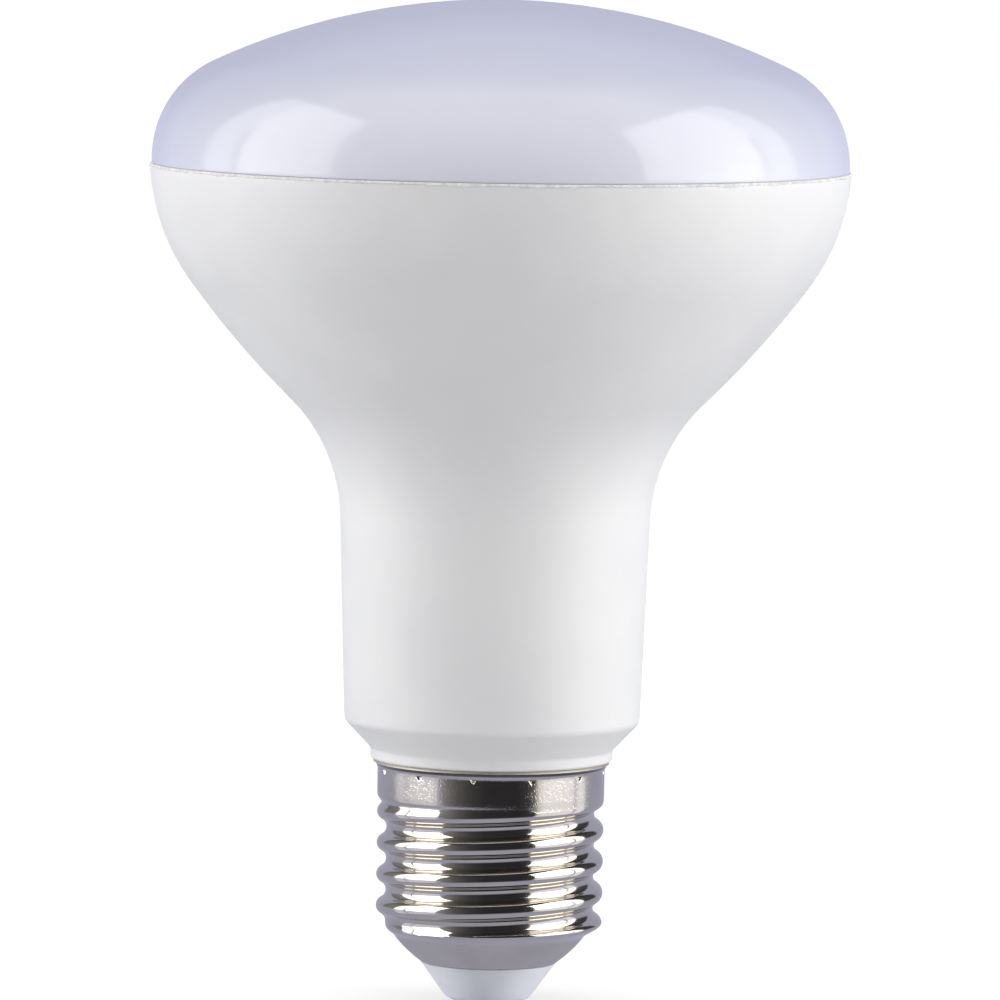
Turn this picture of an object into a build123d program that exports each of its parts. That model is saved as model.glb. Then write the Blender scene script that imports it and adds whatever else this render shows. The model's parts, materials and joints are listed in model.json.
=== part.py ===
from build123d import *
import math
import os

# LED reflector lamp, 80 mm across, with an opal diffuser, a white housing and an E27 screw cap.
# It stands along Z, cap down, with its origin in the middle of the contact face.
# Lengths are millimetres and angles are degrees. Slopes lean out from upright.

# Outside, from the contact face upwards
CONTACT_STAND = 0.3       # contact face below the end of the insulator
NOSE_HEIGHT = 4.4         # insulator, from its end to the foot of the screw shell
SHELL_HEIGHT = 23.35      # screw shell, foot to lip
BAND_HEIGHT = 1.25        # plain band of the housing above the lip
CHAMFER_HEIGHT = 3.2      # chamfer between the band and the neck
SEAM_HEIGHT = 95.8        # joint of housing and diffuser, above the contact face
DOME_SKIRT = 0.7          # upright edge of the diffuser above the joint

# Housing
RIM_RADIUS = 40.0
NECK_RADIUS = 17.74       # where the neck runs into the flare
NECK_DRAFT = 2.0
THROAT_RADIUS = 19.7      # hollow curve from the neck into the flare
FLANK_SLOPE = 45.7        # steepest lean of the flare, at the end of the throat
SHOULDER_SLOPE = 36.3     # lean where the shoulder takes over
SHOULDER_RADIUS = 24.5    # full curve up to the rim
RIM_SLOPE = 3.3           # lean left at the rim
CORNER_RADIUS = 1.2       # neck into chamfer
BAND_OVERHANG = 0.35      # band beyond the lip of the screw shell
BAND_FILLET = 0.6         # chamfer into band
BAND_ROUND = 0.35         # lower edge of the band
HOUSING_WALL = 1.6
FLOOR_RISE = 0.3          # floor inside the neck, above the top of the chamfer
SPIGOT_WALL = 1.7         # tube that the screw shell is pushed over

# Diffuser and its bead of sealant
DOME_INSET = 0.2          # diffuser set in from the rim
DOME_CAP_RADIUS = 76.8
DOME_SHOULDER_RADIUS = 12.2
DOME_WALL = 1.5
TONGUE_DEPTH = 3.0        # edge of the diffuser that reaches into the housing
TONGUE_CLEARANCE = 0.15
BEAD_HEIGHT = 0.2
BEAD_PROUD = 0.05         # bead beyond the rim

# Screw shell, rolled from sheet
SHEET = 0.3
COLLAR_SHEET = 0.4        # collar, which rolling doesn't draw thin
COLLAR_BREAK = 0.15       # broken lower edge of the collar
THREAD_RADIUS = 13.025
PITCH = 3.629
THREAD_DEPTH = 1.095
CREST_DROP = 8.0          # first crest on the +X side, below the lip
COLLAR_HEIGHT = 4.15      # plain collar, with the lip
THREAD_FADE = 1.6         # height over which the thread sinks out of the collar
ROLL_DRAW = 0.02          # thread drawn in from the collar by rolling
FOOT_RADIUS = 7.85
CONE_HEIGHT = 3.0
CONE_INSET = 1.0          # top of the cone, in from the root of the thread
CONE_FALL = 0.72          # slope of the bowl-shaped cone at its top
RUN_IN = 1.8              # height over which the thread rises from the cone
LIP_CURVE = 1.1           # radius of the flared lip
LIP_TURN = 58.0           # turn of the lip, up to its cut edge
SECTIONS = 30             # cross-sections round the thread
SECTION_STEPS = 50        # steps along each cross-section
MARKS = 12                # punch marks that hold the shell on the spigot
MARK_START = 21.0         # direction of the first mark from +X
MARK_DROP = 1.25          # middle of a mark below the lip
MARK_RADIUS = 0.6
MARK_DEPTH = 0.5
SPIGOT_CLEARANCE = 0.13

# Insulator and contact
NOSE_SLOPE = 36.0
NOSE_FILLET = 1.6
FOOT_CLEARANCE = 0.1      # insulator in the foot of the shell
CONTACT_RADIUS = 3.7
CONTACT_FILLET = 0.2
NAIL_RADIUS = 1.2
NAIL_CLEARANCE = 0.1
NAIL_STAND = 0.8          # nail above the insulator

# Light engine
LED_DROP = 6.8            # face of the heat spreader below the joint
SPREADER_THICKNESS = 1.5
SPREADER_SKIRT = 6.0      # skirt, from the face down
SPREADER_WALL = 1.2
SPREADER_CLEARANCE = 0.7
SPREADER_BEND = 2.0
CABLE_HOLE = 5.0
RIBS = 6                  # ribs in the housing that carry the heat spreader
RIB_THICKNESS = 1.4
RIB_REACH = 2.2           # ribs inside the skirt of the heat spreader
BOARD_MARGIN = 3.0        # LED board in from the edge of the heat spreader
LED_BOARD_THICKNESS = 1.2
LED_LENGTH = 3.5
LED_WIDTH = 2.8
LED_HEIGHT = 0.7
LED_WINDOW = 2.2
LED_WINDOW_DEPTH = 0.1
OUTER_LEDS = 12
OUTER_RING_INSET = 6.5
INNER_LEDS = 6
INNER_RING = 11.5
SCREWS = 3
SCREW_RING = 17.5
SCREW_RADIUS = 1.25
SCREW_LENGTH = 6.0
SCREW_CLEARANCE = 0.05
SCREW_HEAD_RADIUS = 2.3
SCREW_HEAD_HEIGHT = 1.6
SCREW_SLOT_RADIUS = 1.0
SCREW_SLOT_DEPTH = 0.8
SOCKET_LENGTH = 8.4
SOCKET_WIDTH = 4.4
SOCKET_HEIGHT = 3.2
SOCKET_FILLET = 0.4

# Driver board and what stands on it
PCB = 1.0
PCB_GAP = 4.5             # top of the driver board below the heat spreader
RAIL_ROOM = 3.2           # edge of the driver board in from the neck wall
RAIL_GRIP = 1.3           # rails over the edge of the board
RAIL_THICKNESS = 1.2
RAIL_CLEARANCE = 0.15
RAIL_HEIGHT = 20.0
PIN_RADIUS = 0.4
PIN_SPACING = 5.0
PIN_FOOT = 6.0            # pins along the driver board
PIN_CLEARANCE = 0.1
LEAD_RADIUS = 0.3
LEAD_CLEARANCE = 0.1
LEAD_TAIL = 1.0           # leads past the solder side
LEAD_BEND = 0.7
FUSE_Z = 4.5              # above the lower edge of the driver board
FUSE_RADIUS = 1.6
FUSE_LENGTH = 7.0
FUSE_SPAN = 11.0
FUSE_STAND = 0.3
FILM_Z = 10.0             # above the lower edge of the driver board
FILM_LENGTH = 13.0
FILM_WIDTH = 5.0
FILM_HEIGHT = 8.5
FILM_FILLET = 0.8
FILM_SPAN = 10.0
OUTPUT_DROP = 5.2         # output capacitor below the upper edge of the board
OUTPUT_RADIUS = 4.0
OUTPUT_LENGTH = 11.0
BULK_DROP = 11.0          # top of the bulk capacitor below the upper edge
BULK_X = -5.4
BULK_RADIUS = 5.0
BULK_LENGTH = 13.0
CAN_STAND = 0.2           # capacitor cans off the board
CAN_CRIMP = 0.4
CAN_EDGE = 0.6
LEAD_DROP = 1.8           # leads of a can beyond its end before they turn to the board
LEAD_PITCH = 3.5
CORE_DROP = 17.0          # middle of the transformer below the upper edge
CORE_X = 5.2
CORE_WIDTH = 9.6
CORE_HEIGHT = 9.6
CORE_DEPTH = 4.8
CORE_YOKE = 1.6
CORE_LEG = 2.6
CORE_OUTER_LEG = 1.5
COIL_BUILD = 1.8          # winding round the middle leg
COIL_CLEARANCE = 0.1
COIL_FILLET = 0.6
COIL_PIN_SPAN = 4.0
CHIP_STAND = 0.1
CHIP_CHAMFER = 0.3
CHIP_FOOT = 0.9           # leads of a chip beyond its body
CHIP_LEAD = 0.25          # thickness of those leads
RECTIFIER_Z = 9.0         # above the lower edge of the driver board
RECTIFIER_SIZE = (3.9, 2.4, 4.7)
DRIVER_CHIP_DROP = 20.0   # below the upper edge
DRIVER_CHIP_X = -2.0
DRIVER_CHIP_SIZE = (3.9, 1.5, 4.9)
DIODE_DROP = 10.0         # below the upper edge
DIODE_SIZE = (4.3, 2.1, 2.6)
RESISTORS = 4
RESISTOR_SIZE = (3.2, 0.6, 1.6)
RESISTOR_SPACING = 2.4
RESISTOR_X = 8.2
RESISTOR_Z = 7.0          # lowest one above the lower edge of the driver board

# Wires from the driver board to the cap
WIRE_RADIUS = 0.6
WIRE_CLEARANCE = 0.05
WIRE_LAP = 4.0            # wires along the driver board
LIVE_X = -4.0
NEUTRAL_X = 7.6
NEUTRAL_BEND = 2.4
TAP_TURNS = 2.5           # end of the neutral wire below the first crest, in turns of the thread
BEND_SHARE = 0.45         # share of a straight run that each bend of the live wire takes
NOTCH_CLEARANCE = 0.25


UPWARDS = (Align.CENTER, Align.CENTER, Align.MIN)
DOWNWARDS = (Align.CENTER, Align.CENTER, Align.MAX)


def unit(slope):
    """Direction in (r, z), square to and away from a wall that leans out by a slope."""
    return Vector(math.cos(math.radians(slope)), -math.sin(math.radians(slope)))


def eased(share):
    """Smooth step from 0 to 1."""
    share = min(max(share, 0.0), 1.0)
    return share * share * (3 - 2 * share)


# Levels of the outside
FOOT_Z = CONTACT_STAND + NOSE_HEIGHT
THREAD_Z = FOOT_Z + CONE_HEIGHT
LIP_Z = FOOT_Z + SHELL_HEIGHT
COLLAR_Z = LIP_Z - COLLAR_HEIGHT
FLARE_Z = LIP_Z - (LIP_CURVE + COLLAR_SHEET) * math.sin(math.radians(LIP_TURN))
CHAMFER_Z = LIP_Z + BAND_HEIGHT
NECK_Z = CHAMFER_Z + CHAMFER_HEIGHT
RIM_Z = SEAM_HEIGHT - BEAD_HEIGHT / 2
STEP_Z = SEAM_HEIGHT + BEAD_HEIGHT / 2

# Flare of the housing: shoulder, flank and throat, tangent to each other from the rim to the neck
FLANK_REACH = (
    RIM_RADIUS
    - NECK_RADIUS
    - SHOULDER_RADIUS * (unit(RIM_SLOPE).X - unit(SHOULDER_SLOPE).X)
    - THROAT_RADIUS * (unit(NECK_DRAFT).X - unit(FLANK_SLOPE).X)
)
FLANK_RADIUS = FLANK_REACH / (unit(SHOULDER_SLOPE).X - unit(FLANK_SLOPE).X)
SHOULDER_CENTRE = Vector(RIM_RADIUS, RIM_Z) - unit(RIM_SLOPE) * SHOULDER_RADIUS
FLANK_CENTRE = SHOULDER_CENTRE + unit(SHOULDER_SLOPE) * (SHOULDER_RADIUS - FLANK_RADIUS)
THROAT_CENTRE = FLANK_CENTRE + unit(FLANK_SLOPE) * (FLANK_RADIUS + THROAT_RADIUS)


def neck_top(inset):
    """Upper end of the neck in (r, z), on a wall set in from the outside."""
    return THROAT_CENTRE - unit(NECK_DRAFT) * (THROAT_RADIUS + inset)


def neck_radius(z, inset):
    """Radius of the neck at a height, on a wall set in from the outside."""
    top = neck_top(inset)
    return top.X - (top.Y - z) * math.tan(math.radians(NECK_DRAFT))


def shoulder_radius(z, inset):
    """Radius of the shoulder at a height, on a wall set in from the outside."""
    drop = SHOULDER_CENTRE.Y - z
    return SHOULDER_CENTRE.X + math.sqrt((SHOULDER_RADIUS - inset) ** 2 - drop**2)


def flare(inset):
    """Shoulder, flank and throat arcs of the housing, on a wall set in from the outside."""
    reach = SHOULDER_RADIUS - inset
    rim_slope = math.degrees(math.asin((SHOULDER_CENTRE.Y - RIM_Z) / reach))
    return [
        CenterArc(SHOULDER_CENTRE, reach, -rim_slope, rim_slope - SHOULDER_SLOPE),
        CenterArc(FLANK_CENTRE, FLANK_RADIUS - inset, -SHOULDER_SLOPE, SHOULDER_SLOPE - FLANK_SLOPE),
        CenterArc(THROAT_CENTRE, THROAT_RADIUS + inset, 180 - FLANK_SLOPE, FLANK_SLOPE - NECK_DRAFT),
    ]


def turned(outline):
    """Solid of revolution about Z from a closed outline drawn in (r, z)."""
    return revolve(Plane.XZ * make_face(outline), Axis.Z)


def wire(points, radii, radius):
    """Round wire along straight runs joined by tangent arcs."""
    path = FilletPolyline(*points, radius=radii)
    return sweep(Plane(origin=path @ 0, z_dir=path % 0) * Circle(radius), path)


def around(count, radius, start=0.0):
    """Places on a ring about Z, each facing outwards."""
    return [Rot(0, 0, start + k * 360 / count) * Pos(radius, 0, 0) for k in range(count)]


# Screw shell
ROOT_RADIUS = THREAD_RADIUS - THREAD_DEPTH
CONE_TOP = ROOT_RADIUS - CONE_INSET
WAVE_RADIUS = ((PITCH / 2) ** 2 + THREAD_DEPTH**2) / (4 * THREAD_DEPTH)
CREST_Z = LIP_Z - CREST_DROP
LIP_RADIUS = THREAD_RADIUS + LIP_CURVE * (1 - math.cos(math.radians(LIP_TURN)))
COLLAR_BORE = THREAD_RADIUS - COLLAR_SHEET
MARK_Z = LIP_Z - MARK_DROP
MARK_BASE = THREAD_RADIUS - COLLAR_SHEET / 2


def groove(z, turn):
    """Depth of the rolled thread below its crest, at a height and a direction in turns from +X."""
    along = (z - CREST_Z) / PITCH - turn
    from_crest = abs(along - round(along)) * PITCH
    from_end = min(from_crest, PITCH / 2 - from_crest)
    rise = math.sqrt(WAVE_RADIUS**2 - from_end**2) - WAVE_RADIUS + THREAD_DEPTH / 2
    return THREAD_DEPTH / 2 - (rise if from_crest < PITCH / 4 else -rise)


def cone_radius(z):
    """Outside radius of the bowl-shaped cone, which runs straight on above its top."""
    below = THREAD_Z - z
    bowl = CONE_TOP - FOOT_RADIUS - CONE_FALL * CONE_HEIGHT
    return CONE_TOP - CONE_FALL * below - bowl * (max(below, 0) / CONE_HEIGHT) ** 2


def shell_radius(z, turn):
    """Outside radius of the screw shell below its collar."""
    depth = groove(z, turn) * eased((COLLAR_Z - z) / THREAD_FADE)
    thread = THREAD_RADIUS - ROLL_DRAW - depth
    return cone_radius(z) + (thread - cone_radius(z)) * eased((z - THREAD_Z) / RUN_IN)


def sheet_inside(z, turn, gap=0.0):
    """Radius inside the sheet at a height, with a gap beyond the sheet."""
    probe = PITCH / 8
    lean = (shell_radius(z + probe, turn) - shell_radius(z - probe, turn)) / (2 * probe)
    return shell_radius(z, turn) - (SHEET + gap) * math.hypot(1, lean)


def shell_section(turn):
    """Closed cross-section of the rolled sheet, at a direction in turns from +X."""
    top = COLLAR_Z + 2 * COLLAR_BREAK
    share = [k / SECTION_STEPS for k in range(SECTION_STEPS + 1)]
    heights = [FOOT_Z + s * (top - FOOT_Z) for s in share]
    outward = Vector(1, 0).rotate(Axis.Z, 360 * turn)
    outer = [outward * shell_radius(z, turn) + Vector(0, 0, z) for z in heights]
    inner = [outward * sheet_inside(z, turn) + Vector(0, 0, z) for z in heights]
    return Wire(
        [
            Edge.make_spline(outer, parameters=share),
            Edge.make_line(outer[-1], inner[-1]),
            Edge.make_spline(inner[::-1], parameters=share),
            Edge.make_line(inner[0], outer[0]),
        ]
    )


def punch(radius, base, tip):
    """Ring of cones pointing at the axis, from a base radius to a tip radius."""
    cone = Rot(0, -90, 0) * Cone(radius, 0, base - tip, align=UPWARDS)
    return [place * Pos(0, 0, MARK_Z) * cone for place in around(MARKS, base, MARK_START)]


def screw_shell():
    """Rolled shell: thread and cone as lofted sheet, with a turned collar, its lip and the punch marks."""
    sections = [shell_section(k / SECTIONS) for k in range(SECTIONS)]
    thread = Solid.make_loft([*sections, sections[0]])
    centre = (THREAD_RADIUS + LIP_CURVE, FLARE_Z)
    outer_lip = CenterArc(centre, LIP_CURVE, 180, -LIP_TURN)
    inner_lip = CenterArc(centre, LIP_CURVE + COLLAR_SHEET, 180, -LIP_TURN)
    lower_edge = Polyline(
        inner_lip @ 0,
        (COLLAR_BORE, COLLAR_Z),
        (THREAD_RADIUS - COLLAR_BREAK, COLLAR_Z),
        (THREAD_RADIUS, COLLAR_Z + COLLAR_BREAK),
        outer_lip @ 0,
    )
    collar = turned([outer_lip, inner_lip, lower_edge, Line(outer_lip @ 1, inner_lip @ 1)])
    collar += punch(MARK_RADIUS + COLLAR_SHEET / 2, MARK_BASE, COLLAR_BORE - MARK_DEPTH)
    collar -= punch(MARK_RADIUS, THREAD_RADIUS + ROLL_DRAW, THREAD_RADIUS - MARK_DEPTH)
    return collar + thread


# Housing
SPIGOT_Z = THREAD_Z + RUN_IN
SPIGOT_RADIUS = ROOT_RADIUS - ROLL_DRAW - SHEET - SPIGOT_CLEARANCE
SPIGOT_BORE = SPIGOT_RADIUS - SPIGOT_WALL
COLLAR_SEAT = COLLAR_BORE - SPIGOT_CLEARANCE
BAND_RADIUS = LIP_RADIUS + BAND_OVERHANG
FLOOR_Z = NECK_Z + FLOOR_RISE
FACE_Z = SEAM_HEIGHT - LED_DROP
SKIRT_Z = FACE_Z - SPREADER_SKIRT
SPREADER_RADIUS = shoulder_radius(SKIRT_Z, HOUSING_WALL) - SPREADER_CLEARANCE
PCB_HALF = neck_radius(FLOOR_Z, HOUSING_WALL) - RAIL_ROOM
PCB_TOP = FACE_Z - SPREADER_THICKNESS - PCB_GAP
SOLDER_SIDE = PCB / 2
PART_SIDE = -PCB / 2
WIRE_Y = SOLDER_SIDE + WIRE_CLEARANCE + WIRE_RADIUS
TAP_Z = CREST_Z - TAP_TURNS * PITCH


def housing_outline(inset, floor):
    """Closed outline from the rim to a floor inside the neck, on a wall set in from the outside."""
    arcs = flare(inset)
    rim = arcs[0] @ 0
    return [*arcs, Polyline(arcs[2] @ 1, (neck_radius(floor, inset), floor), (0, floor), (0, rim.Y), rim)]


def rails():
    """Two pairs of rails down the neck, which grip the edges of the driver board."""
    inner = PCB_HALF - RAIL_GRIP
    x = (inner + NECK_RADIUS) / 2
    y = SOLDER_SIDE + RAIL_CLEARANCE + RAIL_THICKNESS / 2
    rail = Box(NECK_RADIUS - inner, RAIL_THICKNESS, RAIL_HEIGHT, align=UPWARDS)
    return [Pos(side_x, side_y, FLOOR_Z) * rail for side_x in (x, -x) for side_y in (y, -y)]


def ribs():
    """Ribs under the heat spreader, with level tops."""
    inner = SPREADER_RADIUS - RIB_REACH
    size = (RIM_RADIUS - inner, RIB_THICKNESS, SKIRT_Z - FLOOR_Z)
    rib = Pos(0, 0, (SKIRT_Z + FLOOR_Z) / 2) * Box(*size)
    return [place * rib for place in around(RIBS, (inner + RIM_RADIUS) / 2)]


def housing():
    """White moulding from the rim to the spigot, with rails and ribs inside."""
    outer, inner = flare(0), flare(HOUSING_WALL)
    corner = (neck_radius(NECK_Z, 0), NECK_Z)
    band = [(BAND_RADIUS, CHAMFER_Z), (BAND_RADIUS, LIP_Z), (COLLAR_SEAT, LIP_Z)]
    lower = FilletPolyline(outer[2] @ 1, corner, *band, radius=[CORNER_RADIUS, BAND_FILLET, BAND_ROUND])
    inside = Polyline(
        (COLLAR_SEAT, LIP_Z),
        (COLLAR_SEAT, COLLAR_Z),
        (SPIGOT_RADIUS, COLLAR_Z),
        (SPIGOT_RADIUS, SPIGOT_Z),
        (SPIGOT_BORE, SPIGOT_Z),
        (SPIGOT_BORE, FLOOR_Z),
        (neck_radius(FLOOR_Z, HOUSING_WALL), FLOOR_Z),
        inner[2] @ 1,
    )
    moulding = turned([*outer, *inner, lower, inside, Line(outer[0] @ 0, inner[0] @ 0)])
    core = turned(housing_outline(HOUSING_WALL / 2, FLOOR_Z))
    moulding += [Part() + (piece & core) for piece in rails() + ribs()]
    pit = MARK_RADIUS + COLLAR_SHEET / 2 + SPIGOT_CLEARANCE
    moulding -= punch(pit, MARK_BASE, COLLAR_BORE - MARK_DEPTH - SPIGOT_CLEARANCE)
    notch_top = TAP_Z + WIRE_RADIUS + NOTCH_CLEARANCE
    notch = (THREAD_RADIUS, 2 * (WIRE_RADIUS + NOTCH_CLEARANCE), notch_top - SPIGOT_Z)
    return moulding - Pos(THREAD_RADIUS / 2, WIRE_Y, (SPIGOT_Z + notch_top) / 2) * Box(*notch)


def rim_sealant():
    """Bead between the rim and the diffuser, rounded where it was squeezed out."""
    inner = shoulder_radius(RIM_Z, HOUSING_WALL)
    edge = RIM_RADIUS + BEAD_PROUD - BEAD_HEIGHT / 2
    low, high, nose = (edge, RIM_Z), (edge, STEP_Z), (edge + BEAD_HEIGHT / 2, SEAM_HEIGHT)
    return turned([Polyline(low, (inner, RIM_Z), (inner, STEP_Z), high), ThreePointArc(high, nose, low)])


def diffuser_dome():
    """Opal cover: a cap and a shoulder of even wall, with a tongue that reaches into the housing."""
    radius = RIM_RADIUS - DOME_INSET
    shoulder = Vector(radius - DOME_SHOULDER_RADIUS, STEP_Z + DOME_SKIRT)
    rise = math.sqrt((DOME_CAP_RADIUS - DOME_SHOULDER_RADIUS) ** 2 - shoulder.X**2)
    lean = math.degrees(math.atan2(rise, shoulder.X))
    cap = (0, shoulder.Y - rise)
    tongue_z = RIM_Z - TONGUE_DEPTH
    tongue = shoulder_radius(tongue_z, HOUSING_WALL) - TONGUE_CLEARANCE
    outer = [
        CenterArc(shoulder, DOME_SHOULDER_RADIUS, 0, lean),
        CenterArc(cap, DOME_CAP_RADIUS, lean, 90 - lean),
    ]
    inner = [
        CenterArc(shoulder, DOME_SHOULDER_RADIUS - DOME_WALL, 0, lean),
        CenterArc(cap, DOME_CAP_RADIUS - DOME_WALL, lean, 90 - lean),
    ]
    edge = Polyline(
        outer[0] @ 0,
        (radius, STEP_Z),
        (tongue, STEP_Z),
        (tongue, tongue_z),
        (tongue - DOME_WALL, tongue_z),
        (tongue - DOME_WALL, STEP_Z),
        inner[0] @ 0,
    )
    return turned([*outer, *inner, edge, Line(outer[1] @ 1, inner[1] @ 1)])


def cap_insulator():
    """Plastic nose of the cap, with a flange that the spigot holds down in the shell."""
    bore = NAIL_RADIUS + NAIL_CLEARANCE
    nose_end = FOOT_RADIUS - NOSE_HEIGHT * math.tan(math.radians(NOSE_SLOPE))
    waist_z = FOOT_Z + FOOT_CLEARANCE
    flange_z = THREAD_Z - FOOT_CLEARANCE
    waist = sheet_inside(waist_z, 0, FOOT_CLEARANCE)
    flange = sheet_inside(flange_z, 0, FOOT_CLEARANCE)
    points = [
        (bore, CONTACT_STAND),
        (nose_end, CONTACT_STAND),
        (FOOT_RADIUS, FOOT_Z),
        (waist, FOOT_Z),
        (waist, waist_z),
        (flange, flange_z),
        (flange, SPIGOT_Z),
        (bore, SPIGOT_Z),
    ]
    nose = FilletPolyline(*points, radius=[NOSE_FILLET, 0, 0, 0, 0, 0])
    return turned([nose, Line(points[-1], points[0])])


NAIL_Z = SPIGOT_Z + NAIL_STAND


def centre_contact():
    """Nail-shaped contact: a flat head with a rounded edge and a shank through the insulator."""
    points = [
        (0, 0),
        (CONTACT_RADIUS, 0),
        (CONTACT_RADIUS, CONTACT_STAND),
        (NAIL_RADIUS, CONTACT_STAND),
        (NAIL_RADIUS, NAIL_Z),
        (0, NAIL_Z),
    ]
    head = FilletPolyline(*points, radius=[CONTACT_FILLET, 0, 0, 0])
    return turned([head, Line(points[-1], points[0])])


# Light engine
LED_BOARD_RADIUS = SPREADER_RADIUS - BOARD_MARGIN
LED_FACE_Z = FACE_Z + LED_BOARD_THICKNESS
PIN_Y = SOLDER_SIDE + PIN_RADIUS
PIN_PLACES = [Pos(x, PIN_Y, 0) for x in (-PIN_SPACING / 2, PIN_SPACING / 2)]
SCREW_PLACES = around(SCREWS, SCREW_RING)


def heat_spreader():
    """Pressed aluminium disc with a turned-down skirt, holes for the screws and a hole for the pins."""
    inner = SPREADER_RADIUS - SPREADER_WALL
    under = FACE_Z - SPREADER_THICKNESS
    points = [
        (0, FACE_Z),
        (SPREADER_RADIUS, FACE_Z),
        (SPREADER_RADIUS, SKIRT_Z),
        (inner, SKIRT_Z),
        (inner, under),
        (0, under),
    ]
    bends = [SPREADER_BEND, 0, 0, SPREADER_BEND - SPREADER_WALL]
    disc = turned([FilletPolyline(*points, radius=bends), Line(points[-1], points[0])])
    drill = Pos(0, 0, FACE_Z) * Cylinder(SCREW_RADIUS + SCREW_CLEARANCE, SCREW_LENGTH)
    disc -= [place * drill for place in SCREW_PLACES]
    return disc - Pos(0, 0, FACE_Z) * Cylinder(CABLE_HOLE, SPREADER_SKIRT)


def led_board():
    """Round aluminium-core board with screw holes and holes for the two pins."""
    disc = Pos(0, 0, FACE_Z) * Cylinder(LED_BOARD_RADIUS, LED_BOARD_THICKNESS, align=UPWARDS)
    screw_drill = Pos(0, 0, FACE_Z) * Cylinder(SCREW_RADIUS + 2 * SCREW_CLEARANCE, SCREW_LENGTH)
    pin_drill = Pos(0, 0, FACE_Z) * Cylinder(PIN_RADIUS + 2 * PIN_CLEARANCE, SPREADER_SKIRT)
    disc -= [place * screw_drill for place in SCREW_PLACES]
    return disc - [place * pin_drill for place in PIN_PLACES]


def leds():
    """LED packages in two rings, each with a shallow window, by node name."""
    body = Pos(0, 0, LED_FACE_Z) * Box(LED_WIDTH, LED_LENGTH, LED_HEIGHT, align=UPWARDS)
    window = Box(LED_WINDOW, LED_LENGTH - LED_WIDTH + LED_WINDOW, LED_WINDOW_DEPTH, align=DOWNWARDS)
    package = body - Pos(0, 0, LED_FACE_Z + LED_HEIGHT) * window
    half_step = 180 / OUTER_LEDS
    places = around(OUTER_LEDS, LED_BOARD_RADIUS - OUTER_RING_INSET, half_step)
    places += around(INNER_LEDS, INNER_RING, 180 / INNER_LEDS)
    return {f"led_{number:02d}": place * package for number, place in enumerate(places, start=1)}


def board_screws():
    """Screws through the LED board into the heat spreader, with domed heads and a round drive recess."""
    head_top = LED_FACE_Z + SCREW_HEAD_HEIGHT
    end = head_top - SCREW_HEAD_HEIGHT - SCREW_LENGTH
    points = [
        (0, head_top),
        (SCREW_HEAD_RADIUS, head_top),
        (SCREW_HEAD_RADIUS, LED_FACE_Z),
        (SCREW_RADIUS, LED_FACE_Z),
        (SCREW_RADIUS, end),
        (0, end),
    ]
    outline = FilletPolyline(*points, radius=[SCREW_HEAD_HEIGHT / 2, 0, 0, 0])
    screw = turned([outline, Line(points[-1], points[0])])
    screw -= Pos(0, 0, head_top) * Cylinder(SCREW_SLOT_RADIUS, SCREW_SLOT_DEPTH, align=DOWNWARDS)
    return Compound([(place * screw).solid() for place in SCREW_PLACES])


def led_socket():
    """Two-pole socket on the LED board, open for the pins."""
    block = Pos(0, PIN_Y, LED_FACE_Z) * Box(SOCKET_LENGTH, SOCKET_WIDTH, SOCKET_HEIGHT, align=UPWARDS)
    block = fillet(block.edges().filter_by(Axis.Z), SOCKET_FILLET)
    drill = Pos(0, 0, LED_FACE_Z) * Cylinder(PIN_RADIUS + PIN_CLEARANCE, SOCKET_HEIGHT, align=UPWARDS)
    return block - [place * drill for place in PIN_PLACES]


def output_pins():
    """Pins from the upper edge of the driver board to the top of the socket."""
    foot = PCB_TOP - PIN_FOOT
    pin = Pos(0, 0, foot) * Cylinder(PIN_RADIUS, LED_FACE_Z + SOCKET_HEIGHT - foot, align=UPWARDS)
    return Compound([(place * pin).solid() for place in PIN_PLACES])


# Driver board: parts stand on the -Y side, chips on the +Y side
BULK_BASE = PCB_TOP - BULK_DROP - BULK_LENGTH
CORE_Z = PCB_TOP - CORE_DROP
COIL_WIDTH = CORE_LEG + 2 * COIL_BUILD
COIL_DEPTH = CORE_DEPTH + 2 * COIL_BUILD
COIL_Y = PART_SIDE - COIL_DEPTH / 2
LEAD_SIDES = (-LEAD_PITCH / 2, LEAD_PITCH / 2)
FUSE_HOLES = [(side * FUSE_SPAN / 2, FLOOR_Z + FUSE_Z) for side in (-1, 1)]
FILM_HOLES = [(side * FILM_SPAN / 2, FLOOR_Z + FILM_Z) for side in (-1, 1)]
BULK_HOLES = [(BULK_X + x, BULK_BASE - LEAD_DROP) for x in LEAD_SIDES]
OUTPUT_HOLES = [(OUTPUT_LENGTH / 2 + LEAD_DROP, PCB_TOP - OUTPUT_DROP + z) for z in LEAD_SIDES]
COIL_HOLES = [
    (CORE_X + x * COIL_PIN_SPAN / 2, CORE_Z + z * COIL_PIN_SPAN / 2) for x in (-1, 1) for z in (-1, 1)
]
ALONG_Y = Rot(-90, 0, 0)


def driver_board():
    """Upright circuit board, drilled for the leads of its parts."""
    board = Pos(0, 0, FLOOR_Z) * Box(2 * PCB_HALF, PCB, PCB_TOP - FLOOR_Z, align=UPWARDS)
    drill = ALONG_Y * Cylinder(LEAD_RADIUS + LEAD_CLEARANCE, 2 * PCB)
    holes = FUSE_HOLES + FILM_HOLES + BULK_HOLES + OUTPUT_HOLES + COIL_HOLES
    return board - [Pos(x, 0, z) * drill for x, z in holes]


def straight_leads(holes, start):
    """Leads from a depth on the part side through the board."""
    length = SOLDER_SIDE + LEAD_TAIL - start
    return [Pos(x, start, z) * ALONG_Y * Cylinder(LEAD_RADIUS, length, align=UPWARDS) for x, z in holes]


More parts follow.
